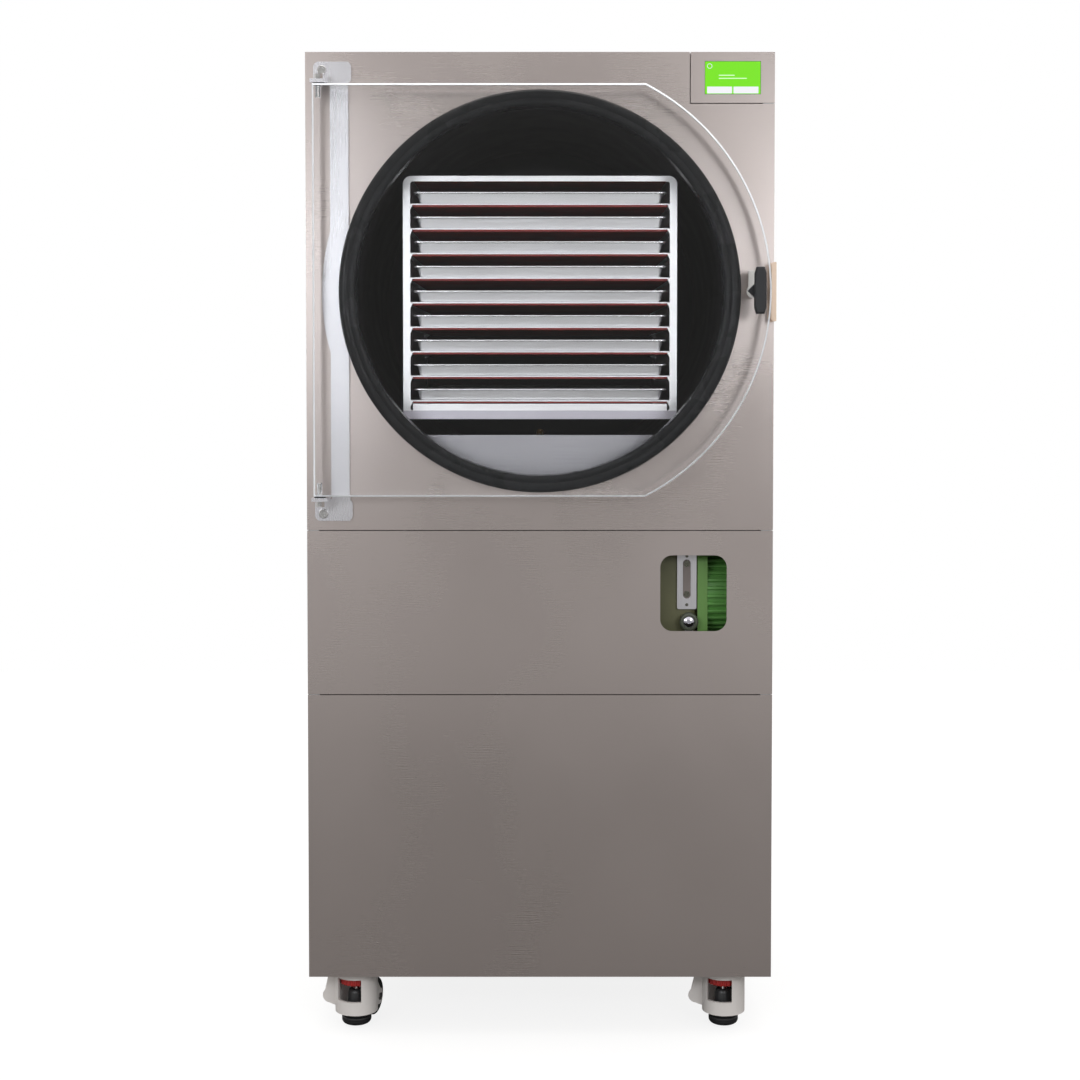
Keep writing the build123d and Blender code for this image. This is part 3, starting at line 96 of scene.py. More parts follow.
def stretched_noise(tree, scale, detail=4.0):
    """Noise in the frame's axes, with its own scale along each."""
    coordinates = tree.nodes.new("ShaderNodeTexCoord")
    mapping = tree.nodes.new("ShaderNodeMapping")
    mapping.inputs["Scale"].default_value = scale
    noise = tree.nodes.new("ShaderNodeTexNoise")
    noise.inputs["Scale"].default_value = 1.0
    noise.inputs["Detail"].default_value = detail
    tree.links.new(coordinates.outputs["Object"], mapping.inputs["Vector"])
    tree.links.new(mapping.outputs["Vector"], noise.inputs["Vector"])
    return noise.outputs["Fac"]


def ranged(tree, value, low_value, high_value):
    """value, 0.3 to 0.7, mapped to the range."""
    node = tree.nodes.new("ShaderNodeMapRange")
    node.inputs["From Min"].default_value = 0.3
    node.inputs["From Max"].default_value = 0.7
    node.inputs["To Min"].default_value = low_value
    node.inputs["To Max"].default_value = high_value
    tree.links.new(value, node.inputs["Value"])
    return node.outputs["Result"]


def math_node(tree, operation, first, second):
    """Math node whose inputs are sockets or plain numbers."""
    node = tree.nodes.new("ShaderNodeMath")
    node.operation = operation
    for socket, value in zip(node.inputs, (first, second)):
        if isinstance(value, (int, float)):
            socket.default_value = value
        else:
            tree.links.new(value, socket)
    return node.outputs[0]


def vary_colour(material, fac, dark, light):
    """Base colour between dark and light by fac."""
    tree = material.node_tree
    ramp = tree.nodes.new("ShaderNodeValToRGB")
    ramp.color_ramp.elements[0].position = 0.3
    ramp.color_ramp.elements[0].color = (*dark, 1)
    ramp.color_ramp.elements[1].position = 0.7
    ramp.color_ramp.elements[1].color = (*light, 1)
    tree.links.new(fac, ramp.inputs["Fac"])
    tree.links.new(ramp.outputs["Color"], tree.nodes["Principled BSDF"].inputs["Base Color"])


def add_bump(material, height, strength, distance):
    tree = material.node_tree
    bump = tree.nodes.new("ShaderNodeBump")
    bump.inputs["Strength"].default_value = strength
    bump.inputs["Distance"].default_value = distance
    tree.links.new(height, bump.inputs["Height"])
    tree.links.new(bump.outputs["Normal"], tree.nodes["Principled BSDF"].inputs["Normal"])


def shaded(colour, factor):
    return tuple(c * factor for c in colour)


def metal(name, colour, roughness, grain, spread=0.08, tint=0.06, bump=0.05):
    """Bare metal with a fine grain and large soft smudges. grain is the noise scale by axis."""
    material = new_material(name, colour, 1.0, roughness)
    tree = material.node_tree
    hairline = stretched_noise(tree, grain, 3.0)
    smudge = stretched_noise(tree, (2.3, 2.3, 1.7), 5.0)
    roughness_by_hairline = ranged(tree, hairline, roughness - spread, roughness + spread)
    roughness_by_smudge = ranged(tree, smudge, 0.85, 1.15)
    varied = math_node(tree, "MULTIPLY", roughness_by_hairline, roughness_by_smudge)
    tree.links.new(varied, tree.nodes["Principled BSDF"].inputs["Roughness"])
    vary_colour(material, hairline, shaded(colour, 1 - tint), shaded(colour, 1 + tint))
    add_bump(material, hairline, bump, 0.0004)
    return material


def moulded(name, colour, roughness, grain=600.0, tint=0.12, bump=0.12, **sockets):
    """Plastic, rubber or paint with a fine even grain and a soft mottle."""
    material = new_material(name, colour, 0.0, roughness, **sockets)
    tree = material.node_tree
    fine = stretched_noise(tree, (grain, grain, grain), 2.0)
    mottle = stretched_noise(tree, (14.0, 14.0, 14.0), 5.0)
    tree.links.new(
        ranged(tree, mottle, roughness * 0.85, roughness * 1.15),
        tree.nodes["Principled BSDF"].inputs["Roughness"],
    )
    vary_colour(material, mottle, shaded(colour, 1 - tint), shaded(colour, 1 + tint))
    add_bump(material, fine, bump, 0.0003)
    return material


def clear_plate(name, tint, roughness):
    """Clear thick plastic that refracts, and lets lamps through to what is behind it."""
    material = new_material(name, tint, 0.0, roughness, Transmission_Weight=1.0, IOR=1.49)
    tree = material.node_tree
    shader = tree.nodes["Principled BSDF"]
    output = tree.nodes["Material Output"]
    path = tree.nodes.new("ShaderNodeLightPath")
    through = tree.nodes.new("ShaderNodeBsdfTransparent")
    mix = tree.nodes.new("ShaderNodeMixShader")
    tree.links.new(path.outputs["Is Shadow Ray"], mix.inputs["Fac"])
    tree.links.new(shader.outputs["BSDF"], mix.inputs[1])
    tree.links.new(through.outputs["BSDF"], mix.inputs[2])
    tree.links.new(mix.outputs["Shader"], output.inputs["Surface"])
    return material


def glow(name, colour, strength, roughness=0.2):
    """Lit display area under a glossy pane."""
    return new_material(name, shaded(colour, 0.3), 0.0, roughness,
                        Emission_Color=(*colour, 1), Emission_Strength=strength)


level_grain = (16.0, 16.0, 1400.0)   # streaks that run level round the upright faces
cross_grain = (9.0, 900.0, 900.0)    # streaks along the width
upright_grain = (900.0, 900.0, 9.0)

cabinet_steel = metal("cabinet_steel", (0.60, 0.533, 0.508), 0.28, level_grain,
                      spread=0.008, tint=0.005, bump=0.002)
inner_steel = metal("inner_steel", (0.42, 0.42, 0.42), 0.42, level_grain)
rack_steel = metal("rack_steel", (0.90, 0.90, 0.92), 0.42, cross_grain, spread=0.04, tint=0.03)
tray_steel = metal("tray_steel", (0.84, 0.84, 0.86), 0.40, cross_grain,
                   spread=0.03, tint=0.02, bump=0.02)
rim_steel = metal("rim_steel", (0.88, 0.88, 0.90), 0.24, cross_grain,
                  spread=0.03, tint=0.02, bump=0.01)
baffle_steel = metal("baffle_steel", (0.40, 0.395, 0.42), 0.42, cross_grain)
strap_steel = metal("strap_steel", (0.76, 0.75, 0.78), 0.27, upright_grain,
                    spread=0.008, tint=0.004, bump=0.001)
# The strike's warm brown is painted shade with a painted warm reflection, put into the colour of
# bare steel.
strike_painted_shade = metal("strike_painted_shade", (0.60, 0.47, 0.37), 0.36, upright_grain,
                     spread=0.03, tint=0.03)
screw_steel = metal("screw_steel", (0.70, 0.69, 0.68), 0.18, (300.0, 300.0, 300.0))
copper = metal("copper", (0.80, 0.43, 0.30), 0.28, (200.0, 200.0, 200.0))
brass = metal("brass", (0.78, 0.60, 0.32), 0.25, (200.0, 200.0, 200.0))
fin_aluminium = metal("fin_aluminium", (0.72, 0.73, 0.75), 0.35, (400.0, 400.0, 400.0))
galvanised = metal("galvanised", (0.52, 0.54, 0.56), 0.42, (35.0, 35.0, 35.0), tint=0.16)

drum_coating = moulded("drum_coating", (0.022, 0.021, 0.024), 0.34, grain=60.0)
ring_rubber = moulded("ring_rubber", (0.009, 0.0095, 0.0105), 0.27, grain=500.0,
                      Specular_IOR_Level=0.14)
tyre_rubber = moulded("tyre_rubber", (0.02, 0.02, 0.02), 0.55)
foot_rubber = moulded("foot_rubber", (0.012, 0.012, 0.013), 0.5)
black_plastic = moulded("black_plastic", (0.014, 0.015, 0.017), 0.4)
thumb_plastic = moulded("thumb_plastic", (0.42, 0.025, 0.022), 0.42)
cam_acetal = moulded("cam_acetal", (0.62, 0.60, 0.57), 0.35)
latch_plastic = moulded("latch_plastic", (0.008, 0.009, 0.011), 0.5)
heater_silicone = moulded("heater_silicone", (0.24, 0.014, 0.011), 0.5, grain=900.0)
caster_paint = moulded("caster_paint", (0.80, 0.76, 0.73), 0.38, grain=260.0, tint=0.05)
neck_plastic = moulded("neck_plastic", (0.035, 0.036, 0.038), 0.35)
lever_paint = moulded("lever_paint", (0.40, 0.02, 0.02), 0.35)
compressor_paint = moulded("compressor_paint", (0.012, 0.012, 0.012), 0.25, grain=120.0)
motor_paint = moulded("motor_paint", (0.125, 0.35, 0.075), 0.4, grain=300.0)
case_paint = moulded("case_paint", (0.15, 0.15, 0.075), 0.45, grain=220.0)
sight_plate = metal("sight_plate", (0.66, 0.65, 0.67), 0.35, upright_grain, spread=0.03, tint=0.03)
sight_pane = moulded("sight_pane", (0.22, 0.185, 0.17), 0.15, grain=100.0, Coat_Weight=1.0)
dark_screw = metal("dark_screw", (0.16, 0.16, 0.13), 0.3, (300.0, 300.0, 300.0))
knob_rim = moulded("knob_rim", (0.07, 0.08, 0.055), 0.35)
knob_dome = metal("knob_dome", (0.62, 0.61, 0.68), 0.16, (120.0, 120.0, 120.0), spread=0.03)
sawn_edge = moulded("sawn_edge", (0.90, 0.91, 0.93), 0.55, grain=400.0, tint=0.03)
acrylic = clear_plate("acrylic", (0.985, 0.99, 0.99), 0.0)
screen_border_black = moulded("screen_border_black", (0.02, 0.02, 0.02), 0.15)
screen_green = glow("screen_green", (0.17, 0.68, 0.012), 0.85)
screen_white = glow("screen_white", (0.86, 0.86, 0.90), 0.75)
screen_mark = glow("screen_mark", (0.62, 0.92, 0.50), 0.9)


# ---------------------------------------------------------------- CAD nodes that stay
def smooth_by_angle(mesh, degrees=32.0):
    """Smooth faces with sharp edges kept. No vertex moves."""
    mesh.shade_smooth()
    mesh.set_sharp_from_angle(angle=math.radians(degrees))


def soft_edges(obj, width, segments=2):
    """Narrow rounded edges, so that they catch the light."""
    bevel = obj.modifiers.new("soft_edges", "BEVEL")
    bevel.width = width
    bevel.segments = segments
    bevel.limit_method = "ANGLE"
    bevel.angle_limit = math.radians(40)
    bevel.harden_normals = False


def finish_node(name, material, edge=0.0):
    obj = nodes[name]
    obj.data.materials.clear()
    obj.data.materials.append(material)
    smooth_by_angle(obj.data)
    if edge:
        soft_edges(obj, edge)


tray_numbers = range(1, 10)
caster_numbers = range(1, 5)
node_looks = {
    "base_pan": inner_steel, "corner_posts": inner_steel, "pump_deck": inner_steel,
    "chamber_deck": inner_steel, "left_side_panel": cabinet_steel,
    "right_side_panel": cabinet_steel, "top_panel": cabinet_steel, "rear_panel": cabinet_steel,
    "upper_front_panel": cabinet_steel, "middle_front_panel": cabinet_steel,
    "lower_front_panel": cabinet_steel, "control_bezel": cabinet_steel,
    "touch_screen": screen_border_black, "chamber_drum": drum_coating,
    "evaporator_coil": copper, "refrigerant_lines": copper, "chamber_baffle": baffle_steel,
    "rack_frame": rack_steel, "rack_shelves": rack_steel, "shelf_heaters": heater_silicone,
    "hinge_strap": strap_steel, "hinge_pins": screw_steel, "latch_strike": strike_painted_shade,
    "latch_cam": cam_acetal, "latch_handle": latch_plastic, "pump_body": case_paint,
    "pump_motor": motor_paint, "pump_sight_glass": sight_plate,
    "pump_drain_knob": black_plastic, "vacuum_hose": inner_steel,
    "compressor": compressor_paint, "condenser_coil": fin_aluminium, "fan_shroud": galvanised,
    "condenser_fan": black_plastic, "mains_inlet": black_plastic, "drain_valve": brass,
    "drain_lever": lever_paint, "door_plate": acrylic,
}
for number in tray_numbers:
    node_looks[f"tray_{number}"] = tray_steel
for number in caster_numbers:
    node_looks[f"caster_{number}_housing"] = caster_paint
    node_looks[f"caster_{number}_wheel"] = tyre_rubber
edge_widths = {   # millimetres
    "left_side_panel": 1.2, "right_side_panel": 1.2, "top_panel": 1.2, "rear_panel": 1.2,
    "upper_front_panel": 1.2, "middle_front_panel": 1.2, "lower_front_panel": 1.2,
    "control_bezel": 0.8, "latch_handle": 0.8,
}
for name, material in node_looks.items():
    finish_node(name, material, edge_widths.get(name, 0.0) * MM)


def colour_beyond(material, axis, comparison, place, colour):
    """Gives the material another colour on one side of a place along an axis of its object."""
    tree = material.node_tree
    shader = tree.nodes["Principled BSDF"]
    plain = shader.inputs["Base Color"].links[0].from_socket
    coordinates = tree.nodes.new("ShaderNodeTexCoord")
    along = tree.nodes.new("ShaderNodeSeparateXYZ")
    tree.links.new(coordinates.outputs["Object"], along.inputs[0])
    beyond = math_node(tree, comparison, along.outputs[axis], place)
    mix = tree.nodes.new("ShaderNodeMix")
    mix.data_type = "RGBA"
    first_colour, second_colour, result = mix.inputs[6], mix.inputs[7], mix.outputs[2]
    second_colour.default_value = (*colour, 1)
    tree.links.new(beyond, mix.inputs["Factor"])
    tree.links.new(plain, first_colour)
    tree.links.new(result, shader.inputs["Base Color"])


# The pump case's colour is olive up to the face of its end flange and green beyond it.
# The rack's steel is a darker, slightly lilac grey below the top of its bottom flange.
flange_face = high("pump_body").x - 16.9 * MM
bottom_flange_top = low("rack_frame").z + 14.1 * MM
colour_beyond(case_paint, "X", "GREATER_THAN", flange_face, (0.15, 0.32, 0.075))
colour_beyond(rack_steel, "Z", "LESS_THAN", bottom_flange_top, (0.56, 0.54, 0.60))


# ---------------------------------------------------------------- mesh helpers
def finished(name, mesh_builder, material, body, angle=32.0):
    """Object from a bmesh, in the row frame, riding on body."""
    mesh = bpy.data.meshes.new(name)
    bmesh.ops.recalc_face_normals(mesh_builder, faces=mesh_builder.faces)
    mesh_builder.to_mesh(mesh)
    mesh_builder.free()
    mesh.materials.append(material)
    smooth_by_angle(mesh, angle)
    obj = bpy.data.objects.new(name, mesh)
    bpy.context.scene.collection.objects.link(obj)
    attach(obj, body)
    return obj


def arc(centre, radius, start, end, count):
    """Points of a circular arc in a profile plane, angles in degrees."""
    points = []
    for step in range(count + 1):
        angle = math.radians(start + (end - start) * step / count)
        points.append((centre[0] + radius * math.cos(angle), centre[1] + radius * math.sin(angle)))
    return points


def add_revolved(builder, profile, origin, along, segments, closed=True):
    """Profile of (radius, distance along the axis) turned round the axis through origin."""
    along = Vector(along).normalized()
    across = along.orthogonal().normalized()
    third = along.cross(across)
    rings = []
    for step in range(segments):
        angle = 2 * math.pi * step / segments
        out = across * math.cos(angle) + third * math.sin(angle)
        rings.append([builder.verts.new(Vector(origin) + out * r + along * d) for r, d in profile])
    count = len(profile)
    for step in range(segments):
        here, there = rings[step], rings[(step + 1) % segments]
        for i in range(count if closed else count - 1):
            j = (i + 1) % count
            builder.faces.new((here[i], here[j], there[j], there[i]))
    return rings


def add_turned(builder, profile, origin, along, segments=32):
    """Solid turned part: the profile runs from one end to the other, and both ends are capped."""
    rings = add_revolved(builder, profile, origin, along, segments, closed=False)
    builder.faces.new([ring[0] for ring in rings][::-1])
    builder.faces.new([ring[-1] for ring in rings])


def add_prism(builder, outline, origin, right, up, depth):
    """Outline of (x, y) in the plane of right and up, made solid by depth along right x up."""
    right, up = Vector(right), Vector(up)
    normal = right.cross(up)
    near = [builder.verts.new(Vector(origin) + right * x + up * y) for x, y in outline]
    far = [builder.verts.new(v.co + normal * depth) for v in near]
    builder.faces.new(near[::-1])
    builder.faces.new(far)
    for i in range(len(outline)):
        j = (i + 1) % len(outline)
        builder.faces.new((near[i], near[j], far[j], far[i]))


def rounded_rectangle(width, height, radius, steps=6):
    points = []
    for sx, sy, start in ((1, 1, 0), (-1, 1, 90), (-1, -1, 180), (1, -1, 270)):
        centre = (sx * (width / 2 - radius), sy * (height / 2 - radius))
        points += arc(centre, radius, start, start + 90, steps)
    return points


# ---------------------------------------------------------------- door gasket
def make_gasket():
    """Rubber ring with an outer roll, a groove and an inner lip."""
    lip = gasket_radius - 28 * MM
    rim_outside = gasket_radius - 17 * MM
    rim_inside = gasket_radius - 20 * MM
    rim_front = 13.8 * MM
    tail = -5.5 * MM
    reach = front_y - low("door_gasket").y
    roll = 9.5 * MM
    lip_roll = 6.6 * MM
    profile = [(rim_outside, 0.0), (gasket_radius - 0.5 * MM, 0.0)]
    profile += arc((gasket_radius - roll, reach - roll - 0.1 * MM), roll, 0, 128, 14)
    profile += arc((lip + lip_roll, reach - lip_roll - 0.2 * MM), lip_roll, 62, 180, 12)
    profile += [(lip, tail), (rim_inside, tail), (rim_inside, rim_front), (rim_outside, rim_front)]
    builder = bmesh.new()
    add_revolved(builder, profile, (0, front_y, chamber_z), (0, -1, 0), 256)
    ring = finished("gasket_ring", builder, ring_rubber, "cabinet", 50)
    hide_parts("door_gasket")


make_gasket()


# ---------------------------------------------------------------- strap screws and pin washers
def add_socket_screw(builder, place, outward, radius, height):
    """Button-head screw with a hexagon socket."""
    outward = Vector(outward).normalized()
    profile = [(radius, 0.0), (radius, height * 0.25)]
    profile += arc((0, height * 0.25), radius, 18, 60, 6)
    profile = [(r, min(d, height)) for r, d in profile]
    socket = radius * 0.45
    profile += [(socket, height), (socket * 0.96, height * 0.35)]
    add_turned(builder, profile, place, outward, 24)


def make_strap_fittings():
    strap_low, strap_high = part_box("hinge_strap")
    door_low, door_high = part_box("door_plate")
    plate_front = front_y - 5 * MM   # face of the strap's lugs
    builder = bmesh.new()
    for z in (strap_high.z - 14 * MM, strap_low.z + 12 * MM):
        place = (strap_low.x + 14 * MM, plate_front, z)
        add_socket_screw(builder, place, (0, -1, 0), 8 * MM, 5 * MM)
    finished("strap_screws", builder, screw_steel, "cabinet")
    pins = middle("hinge_pins")
    builder = bmesh.new()
    for z, direction in ((door_high.z, 1), (door_low.z, -1)):
        bore, rim, near, far = 4.3 * MM, 9.5 * MM, 0.2 * MM, 2.1 * MM
        profile = [(bore, near), (rim, near), (rim, far), (bore, far)]
        add_revolved(builder, profile, (pins.x, pins.y, z), (0, 0, direction), 32)
    finished("pin_washers", builder, black_plastic, "cabinet")


make_strap_fittings()


# ---------------------------------------------------------------- door's sawn edge
def make_door_edge():
    """The clear door's sawn edge and front chamfer, which scatter light. The faces are polished."""
    door_low, door_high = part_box("door_plate")
    builder = bmesh.new()
    rings = []
    front, back = door_low.y, door_high.y - 0.4 * MM
    skin, chamfer, band = 0.2 * MM, 2.4 * MM, 0.5 * MM
    section = ((skin, back), (skin, front + chamfer), (chamfer, front + skin),
               (chamfer + 0.3 * MM, front + 0.4 * MM), (band, front + chamfer + skin),
               (band, back))
    for inset, y in section:
        radius = door_high.x - inset
        left = door_low.x + inset
        half = (door_high.z - door_low.z) / 2 - inset
        reach = math.degrees(math.asin(half / radius))
        outline = [(left, half), (left, -half)] + arc((0, 0), radius, -reach, reach, 96)
        rings.append([builder.verts.new((x, y, chamber_z + z)) for x, z in outline])
    count = len(rings[0])
    for here, there in zip(rings, rings[1:] + rings[:1]):
        for i in range(count):
            j = (i + 1) % count
            builder.faces.new((here[i], here[j], there[j], there[i]))
    finished("door_edge", builder, sawn_edge, "door")


make_door_edge()


# ---------------------------------------------------------------- screen
def make_screen():
    """Plain display: two buttons along the bottom, with a ring mark and two bars above them."""
    width, height = 92 * MM, 54 * MM
    right, up = (1, 0, 0), (0, 0, 1)
    centre = middle("touch_screen")
    face = Vector((centre.x, front_y + 0.35 * MM, centre.z))

    def area(name, outlines, lift, material):
        builder = bmesh.new()
        for outline, x, z in outlines:
            place = face + Vector((x, -lift * MM, z))
            add_prism(builder, outline, place, right, up, 0.08 * MM)
        finished(name, builder, material, "cabinet")

    field = rounded_rectangle(width - 1 * MM, height - 1 * MM, 1 * MM)
    area("screen_field", [(field, 0, 0)], 0.0, screen_green)
    button = rounded_rectangle(width * 0.445, 11 * MM, 0.8 * MM)
    button_x, button_z = width * 0.235, -height * 0.37
    pair = [(button, -button_x, button_z), (button, button_x, button_z)]
    area("screen_buttons", pair, 0.1, screen_white)
    bar = rounded_rectangle(46 * MM, 1.6 * MM, 0.7 * MM)
    short_bar = rounded_rectangle(26 * MM, 1.6 * MM, 0.7 * MM)
    area("screen_bars", [(bar, 0, -1 * MM), (short_bar, -10 * MM, 4 * MM)], 0.1, screen_mark)
    inside, outside, back, front = 3.4 * MM, 4.2 * MM, 0.1 * MM, 0.18 * MM
    ring = [(inside, back), (outside, back), (outside, front), (inside, front)]
    corner = face + Vector((-width / 2 + 8 * MM, 0, height / 2 - 8 * MM))
    builder = bmesh.new()
    add_revolved(builder, ring, corner, (0, -1, 0), 32)
    finished("screen_ring", builder, screen_white, "cabinet")


make_screen()


# ---------------------------------------------------------------- tray rims
def make_tray_rims():
    """Rolled edge round each tray's rim."""
    roll, corner = 1.5 * MM, 7.5 * MM
    sides = 8
    for number in tray_numbers:
        tray_low, tray_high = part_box(f"tray_{number}")
        width = tray_high.x - tray_low.x - 2 * roll
        length = tray_high.y - tray_low.y - 2 * roll
        centre = (tray_low + tray_high) / 2
        outline = rounded_rectangle(width, length, corner, 5)
        builder = bmesh.new()
        rings = []
        count = len(outline)
        for i, (x, y) in enumerate(outline):
            before, after = Vector(outline[i - 1]), Vector(outline[(i + 1) % count])
            tangent = (after - before).normalized()
            out = Vector((tangent.y, -tangent.x, 0))
            base = Vector((centre.x + x, centre.y + y, tray_high.z - roll))
            ring = []
            for k in range(sides):
                angle = 2 * math.pi * k / sides
                rise = Vector((0, 0, roll * math.sin(angle)))
                ring.append(builder.verts.new(base + out * roll * math.cos(angle) + rise))
            rings.append(ring)
        for i in range(count):
            here, there = rings[i], rings[(i + 1) % count]
            for k in range(sides):
                following = (k + 1) % sides
                builder.faces.new((here[k], here[following], there[following], there[k]))
        finished(f"tray_{number}_rim", builder, rim_steel, "cabinet", 60)


make_tray_rims()


# ---------------------------------------------------------------- casters
def make_caster_details(number):
    """Foot pad with its threaded stem, the notched thumbwheel, and the axle's domed ends."""
    foot_low, foot_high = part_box(f"caster_{number}_foot")
    axis = Vector(((foot_low.x + foot_high.x) / 2, (foot_low.y + foot_high.y) / 2, 0))
    body = f"caster_{number}_foot"
    pad = 25 * MM
    bottom = foot_low.z
    pad_top, neck_top = 14 * MM, 58 * MM   # above the pad's underside
    builder = bmesh.new()
    profile = [(pad - 9 * MM, 0.0)] + arc((pad - 7.5 * MM, 7.5 * MM), 7.5 * MM, -80, 0, 8)
    groove_floor = pad - 0.8 * MM
    profile += [(pad, 8.4 * MM), (groove_floor, 8.8 * MM), (groove_floor, 9.6 * MM), (pad, 10 * MM)]
    profile += arc((pad - 3 * MM, 11 * MM), 3 * MM, 0, 90, 4)
    profile += [(19 * MM, pad_top)]
    add_turned(builder, profile, axis + Vector((0, 0, bottom)), (0, 0, 1), 48)
    pad_piece = finished(f"caster_{number}_pad", builder, foot_rubber, body)
    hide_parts(body)
    builder = bmesh.new()
    neck = [(19 * MM, pad_top), (18.4 * MM, 18 * MM), (17.2 * MM, 19.5 * MM), (14.2 * MM, 52 * MM),
            (13 * MM, neck_top - 1.5 * MM), (11.5 * MM, neck_top)]
    add_turned(builder, neck, axis + Vector((0, 0, bottom)), (0, 0, 1), 40)
    finished(f"caster_{number}_neck", builder, neck_plastic, body)
    thread, groove = 6.0 * MM, 5.3 * MM
    turns = 26
    pitch = (foot_high.z - bottom - neck_top) / turns
    stem = [(groove, 0.0)]
    for turn in range(turns):
        stem += [(groove, (turn + 0.1) * pitch), (thread, (turn + 0.5) * pitch)]
    stem += [(groove, turns * pitch)]
    builder = bmesh.new()
    add_turned(builder, stem, axis + Vector((0, 0, bottom + neck_top)), (0, 0, 1), 20)
    finished(f"caster_{number}_stem", builder, screw_steel, body, 20)
    thumb_low = cabinet_bottom - 28.5 * MM
    thumb_height, tooth_radius, notch_radius = 12 * MM, 28.0 * MM, 26.4 * MM
    outline = []
    steps = 24 * 4   # four points to each of the 24 teeth
    for step in range(steps):
        angle = 2 * math.pi * step / steps
        radius = tooth_radius if step % 4 in (0, 1) else notch_radius
        outline.append((radius * math.cos(angle), radius * math.sin(angle)))
    builder = bmesh.new()
    start = axis + Vector((0, 0, thumb_low))
    add_prism(builder, outline, start, (1, 0, 0), (0, 1, 0), thumb_height)
    thumb = finished(f"caster_{number}_thumbwheel", builder, thumb_plastic, body,
                     20)
    soft_edges(thumb, 0.8 * MM)

    wheel = middle(f"caster_{number}_wheel")
    across = Vector((wheel.x, wheel.y, 0)) - axis
    side = Vector((-across.y, across.x, 0)).normalized()
    head_radius, half_axle = 6.5 * MM, 18.5 * MM
    profile = [(head_radius, 0.0)] + arc((0.0, 0.2 * MM), head_radius, 5, 35, 4)
    profile = [(r, min(d, 2.4 * MM)) for r, d in profile] + [(2.5 * MM, 2.6 * MM)]
    builder = bmesh.new()
    for direction in (1, -1):
        add_turned(builder, profile, wheel + side * direction * half_axle, side * direction, 24)
    finished(f"caster_{number}_axle_ends", builder, screw_steel, f"caster_{number}")


for caster in caster_numbers:
    make_caster_details(caster)
    soft_edges(nodes[f"caster_{caster}_housing"], 1.0 * MM, 3)


# ---------------------------------------------------------------- pump details
def make_pump_details():
    """Oil window with its two screws, the plate's screws, and the drain knob with its metal cap."""
    glass_low, glass_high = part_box("pump_sight_glass")
    face_y = glass_low.y
    centre = middle("pump_sight_glass")
    slot_z = centre.z + 3.7 * MM
    pane = rounded_rectangle(12.6 * MM, 66 * MM, 6.25 * MM)
    builder = bmesh.new()
    place = (centre.x, face_y + 2.45 * MM, slot_z)
    add_prism(builder, pane, place, (1, 0, 0), (0, 0, 1), 0.9 * MM)
    finished("pump_oil_window", builder, sight_pane, "cabinet")
    builder = bmesh.new()
    for side in (-1, 1):
        place = (centre.x, face_y + 1.6 * MM, slot_z + side * 25.5 * MM)
        add_socket_screw(builder, place, (0, -1, 0), 5.4 * MM, 1.5 * MM)
    finished("pump_window_screws", builder, dark_screw, "cabinet")
    builder = bmesh.new()
    for z in (glass_low.z + 7.5 * MM, glass_high.z - 4.5 * MM):
        add_socket_screw(builder, (centre.x, face_y, z), (0, -1, 0), 2.6 * MM, 1.6 * MM)
    finished("pump_plate_screws", builder, dark_screw, "cabinet")

    knob_low, knob_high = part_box("pump_drain_knob")
    knob = middle("pump_drain_knob")
    radius = (knob_high.x - knob_low.x) / 2
    length = knob_high.y - knob_low.y
    start = Vector((knob.x, knob_high.y, knob.z))
    floor = length - 2.2 * MM
    builder = bmesh.new()
    neck_radius, neck_length, rounding = 9 * MM, 8 * MM, 3.5 * MM
    profile = [(neck_radius, 0.0), (neck_radius, neck_length), (radius - 1 * MM, neck_length),
               (radius, neck_length + 1 * MM)]
    profile += arc((radius - rounding, length - rounding), rounding, 0, 90, 6)
    profile += [(10.6 * MM, length), (10.2 * MM, floor), (1 * MM, floor)]
    add_turned(builder, profile, start, (0, -1, 0), 48)
    rim = finished("pump_knob", builder, knob_rim, "cabinet")
    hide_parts("pump_drain_knob")
    builder = bmesh.new()
    dome = arc((0, -18.9 * MM), 21 * MM, 63.5, 83, 6)
    profile = [(9.4 * MM, 0.0)] + dome + [(2.4 * MM, 0.8 * MM)]
    add_turned(builder, profile, start + Vector((0, -floor, 0)), (0, -1, 0), 36)
    finished("pump_knob_cap", builder, knob_dome, "cabinet")


make_pump_details()


# ---------------------------------------------------------------- panel screws
def make_panel_screws():
    """Button-head screws round the edge of the rear panel."""
    rear_low, rear_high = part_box("rear_panel")
    inset, end_inset = 11 * MM, 60 * MM
    rise = (rear_high.z - rear_low.z - 2 * end_inset) / 5
    places = [(x, rear_low.z + end_inset + rise * step)
              for x in (rear_low.x + inset, rear_high.x - inset) for step in range(6)]
    places += [(x, z) for x in (-0.2, 0.0, 0.2) for z in (rear_low.z + inset, rear_high.z - inset)]
    builder = bmesh.new()
    for x, z in places:
        add_socket_screw(builder, (x, rear_y, z), (0, 1, 0), 4.5 * MM, 2.6 * MM)
    finished("rear_screws", builder, screw_steel, "cabinet")


make_panel_screws()


# ---------------------------------------------------------------- floor, backdrop and light
def seen_directly(tree):
    """1 for rays from the camera, also through clear plastic, and 0 for light that bounced."""
    path = tree.nodes.new("ShaderNodeLightPath")
    bounces = math_node(tree, "ADD", path.outputs["Glossy Depth"], path.outputs["Diffuse Depth"])
    unbounced = math_node(tree, "LESS_THAN", bounces, 0.5)
    through = math_node(tree, "MULTIPLY", path.outputs["Is Transmission Ray"], unbounced)
    return math_node(tree, "MAXIMUM", path.outputs["Is Camera Ray"], through)


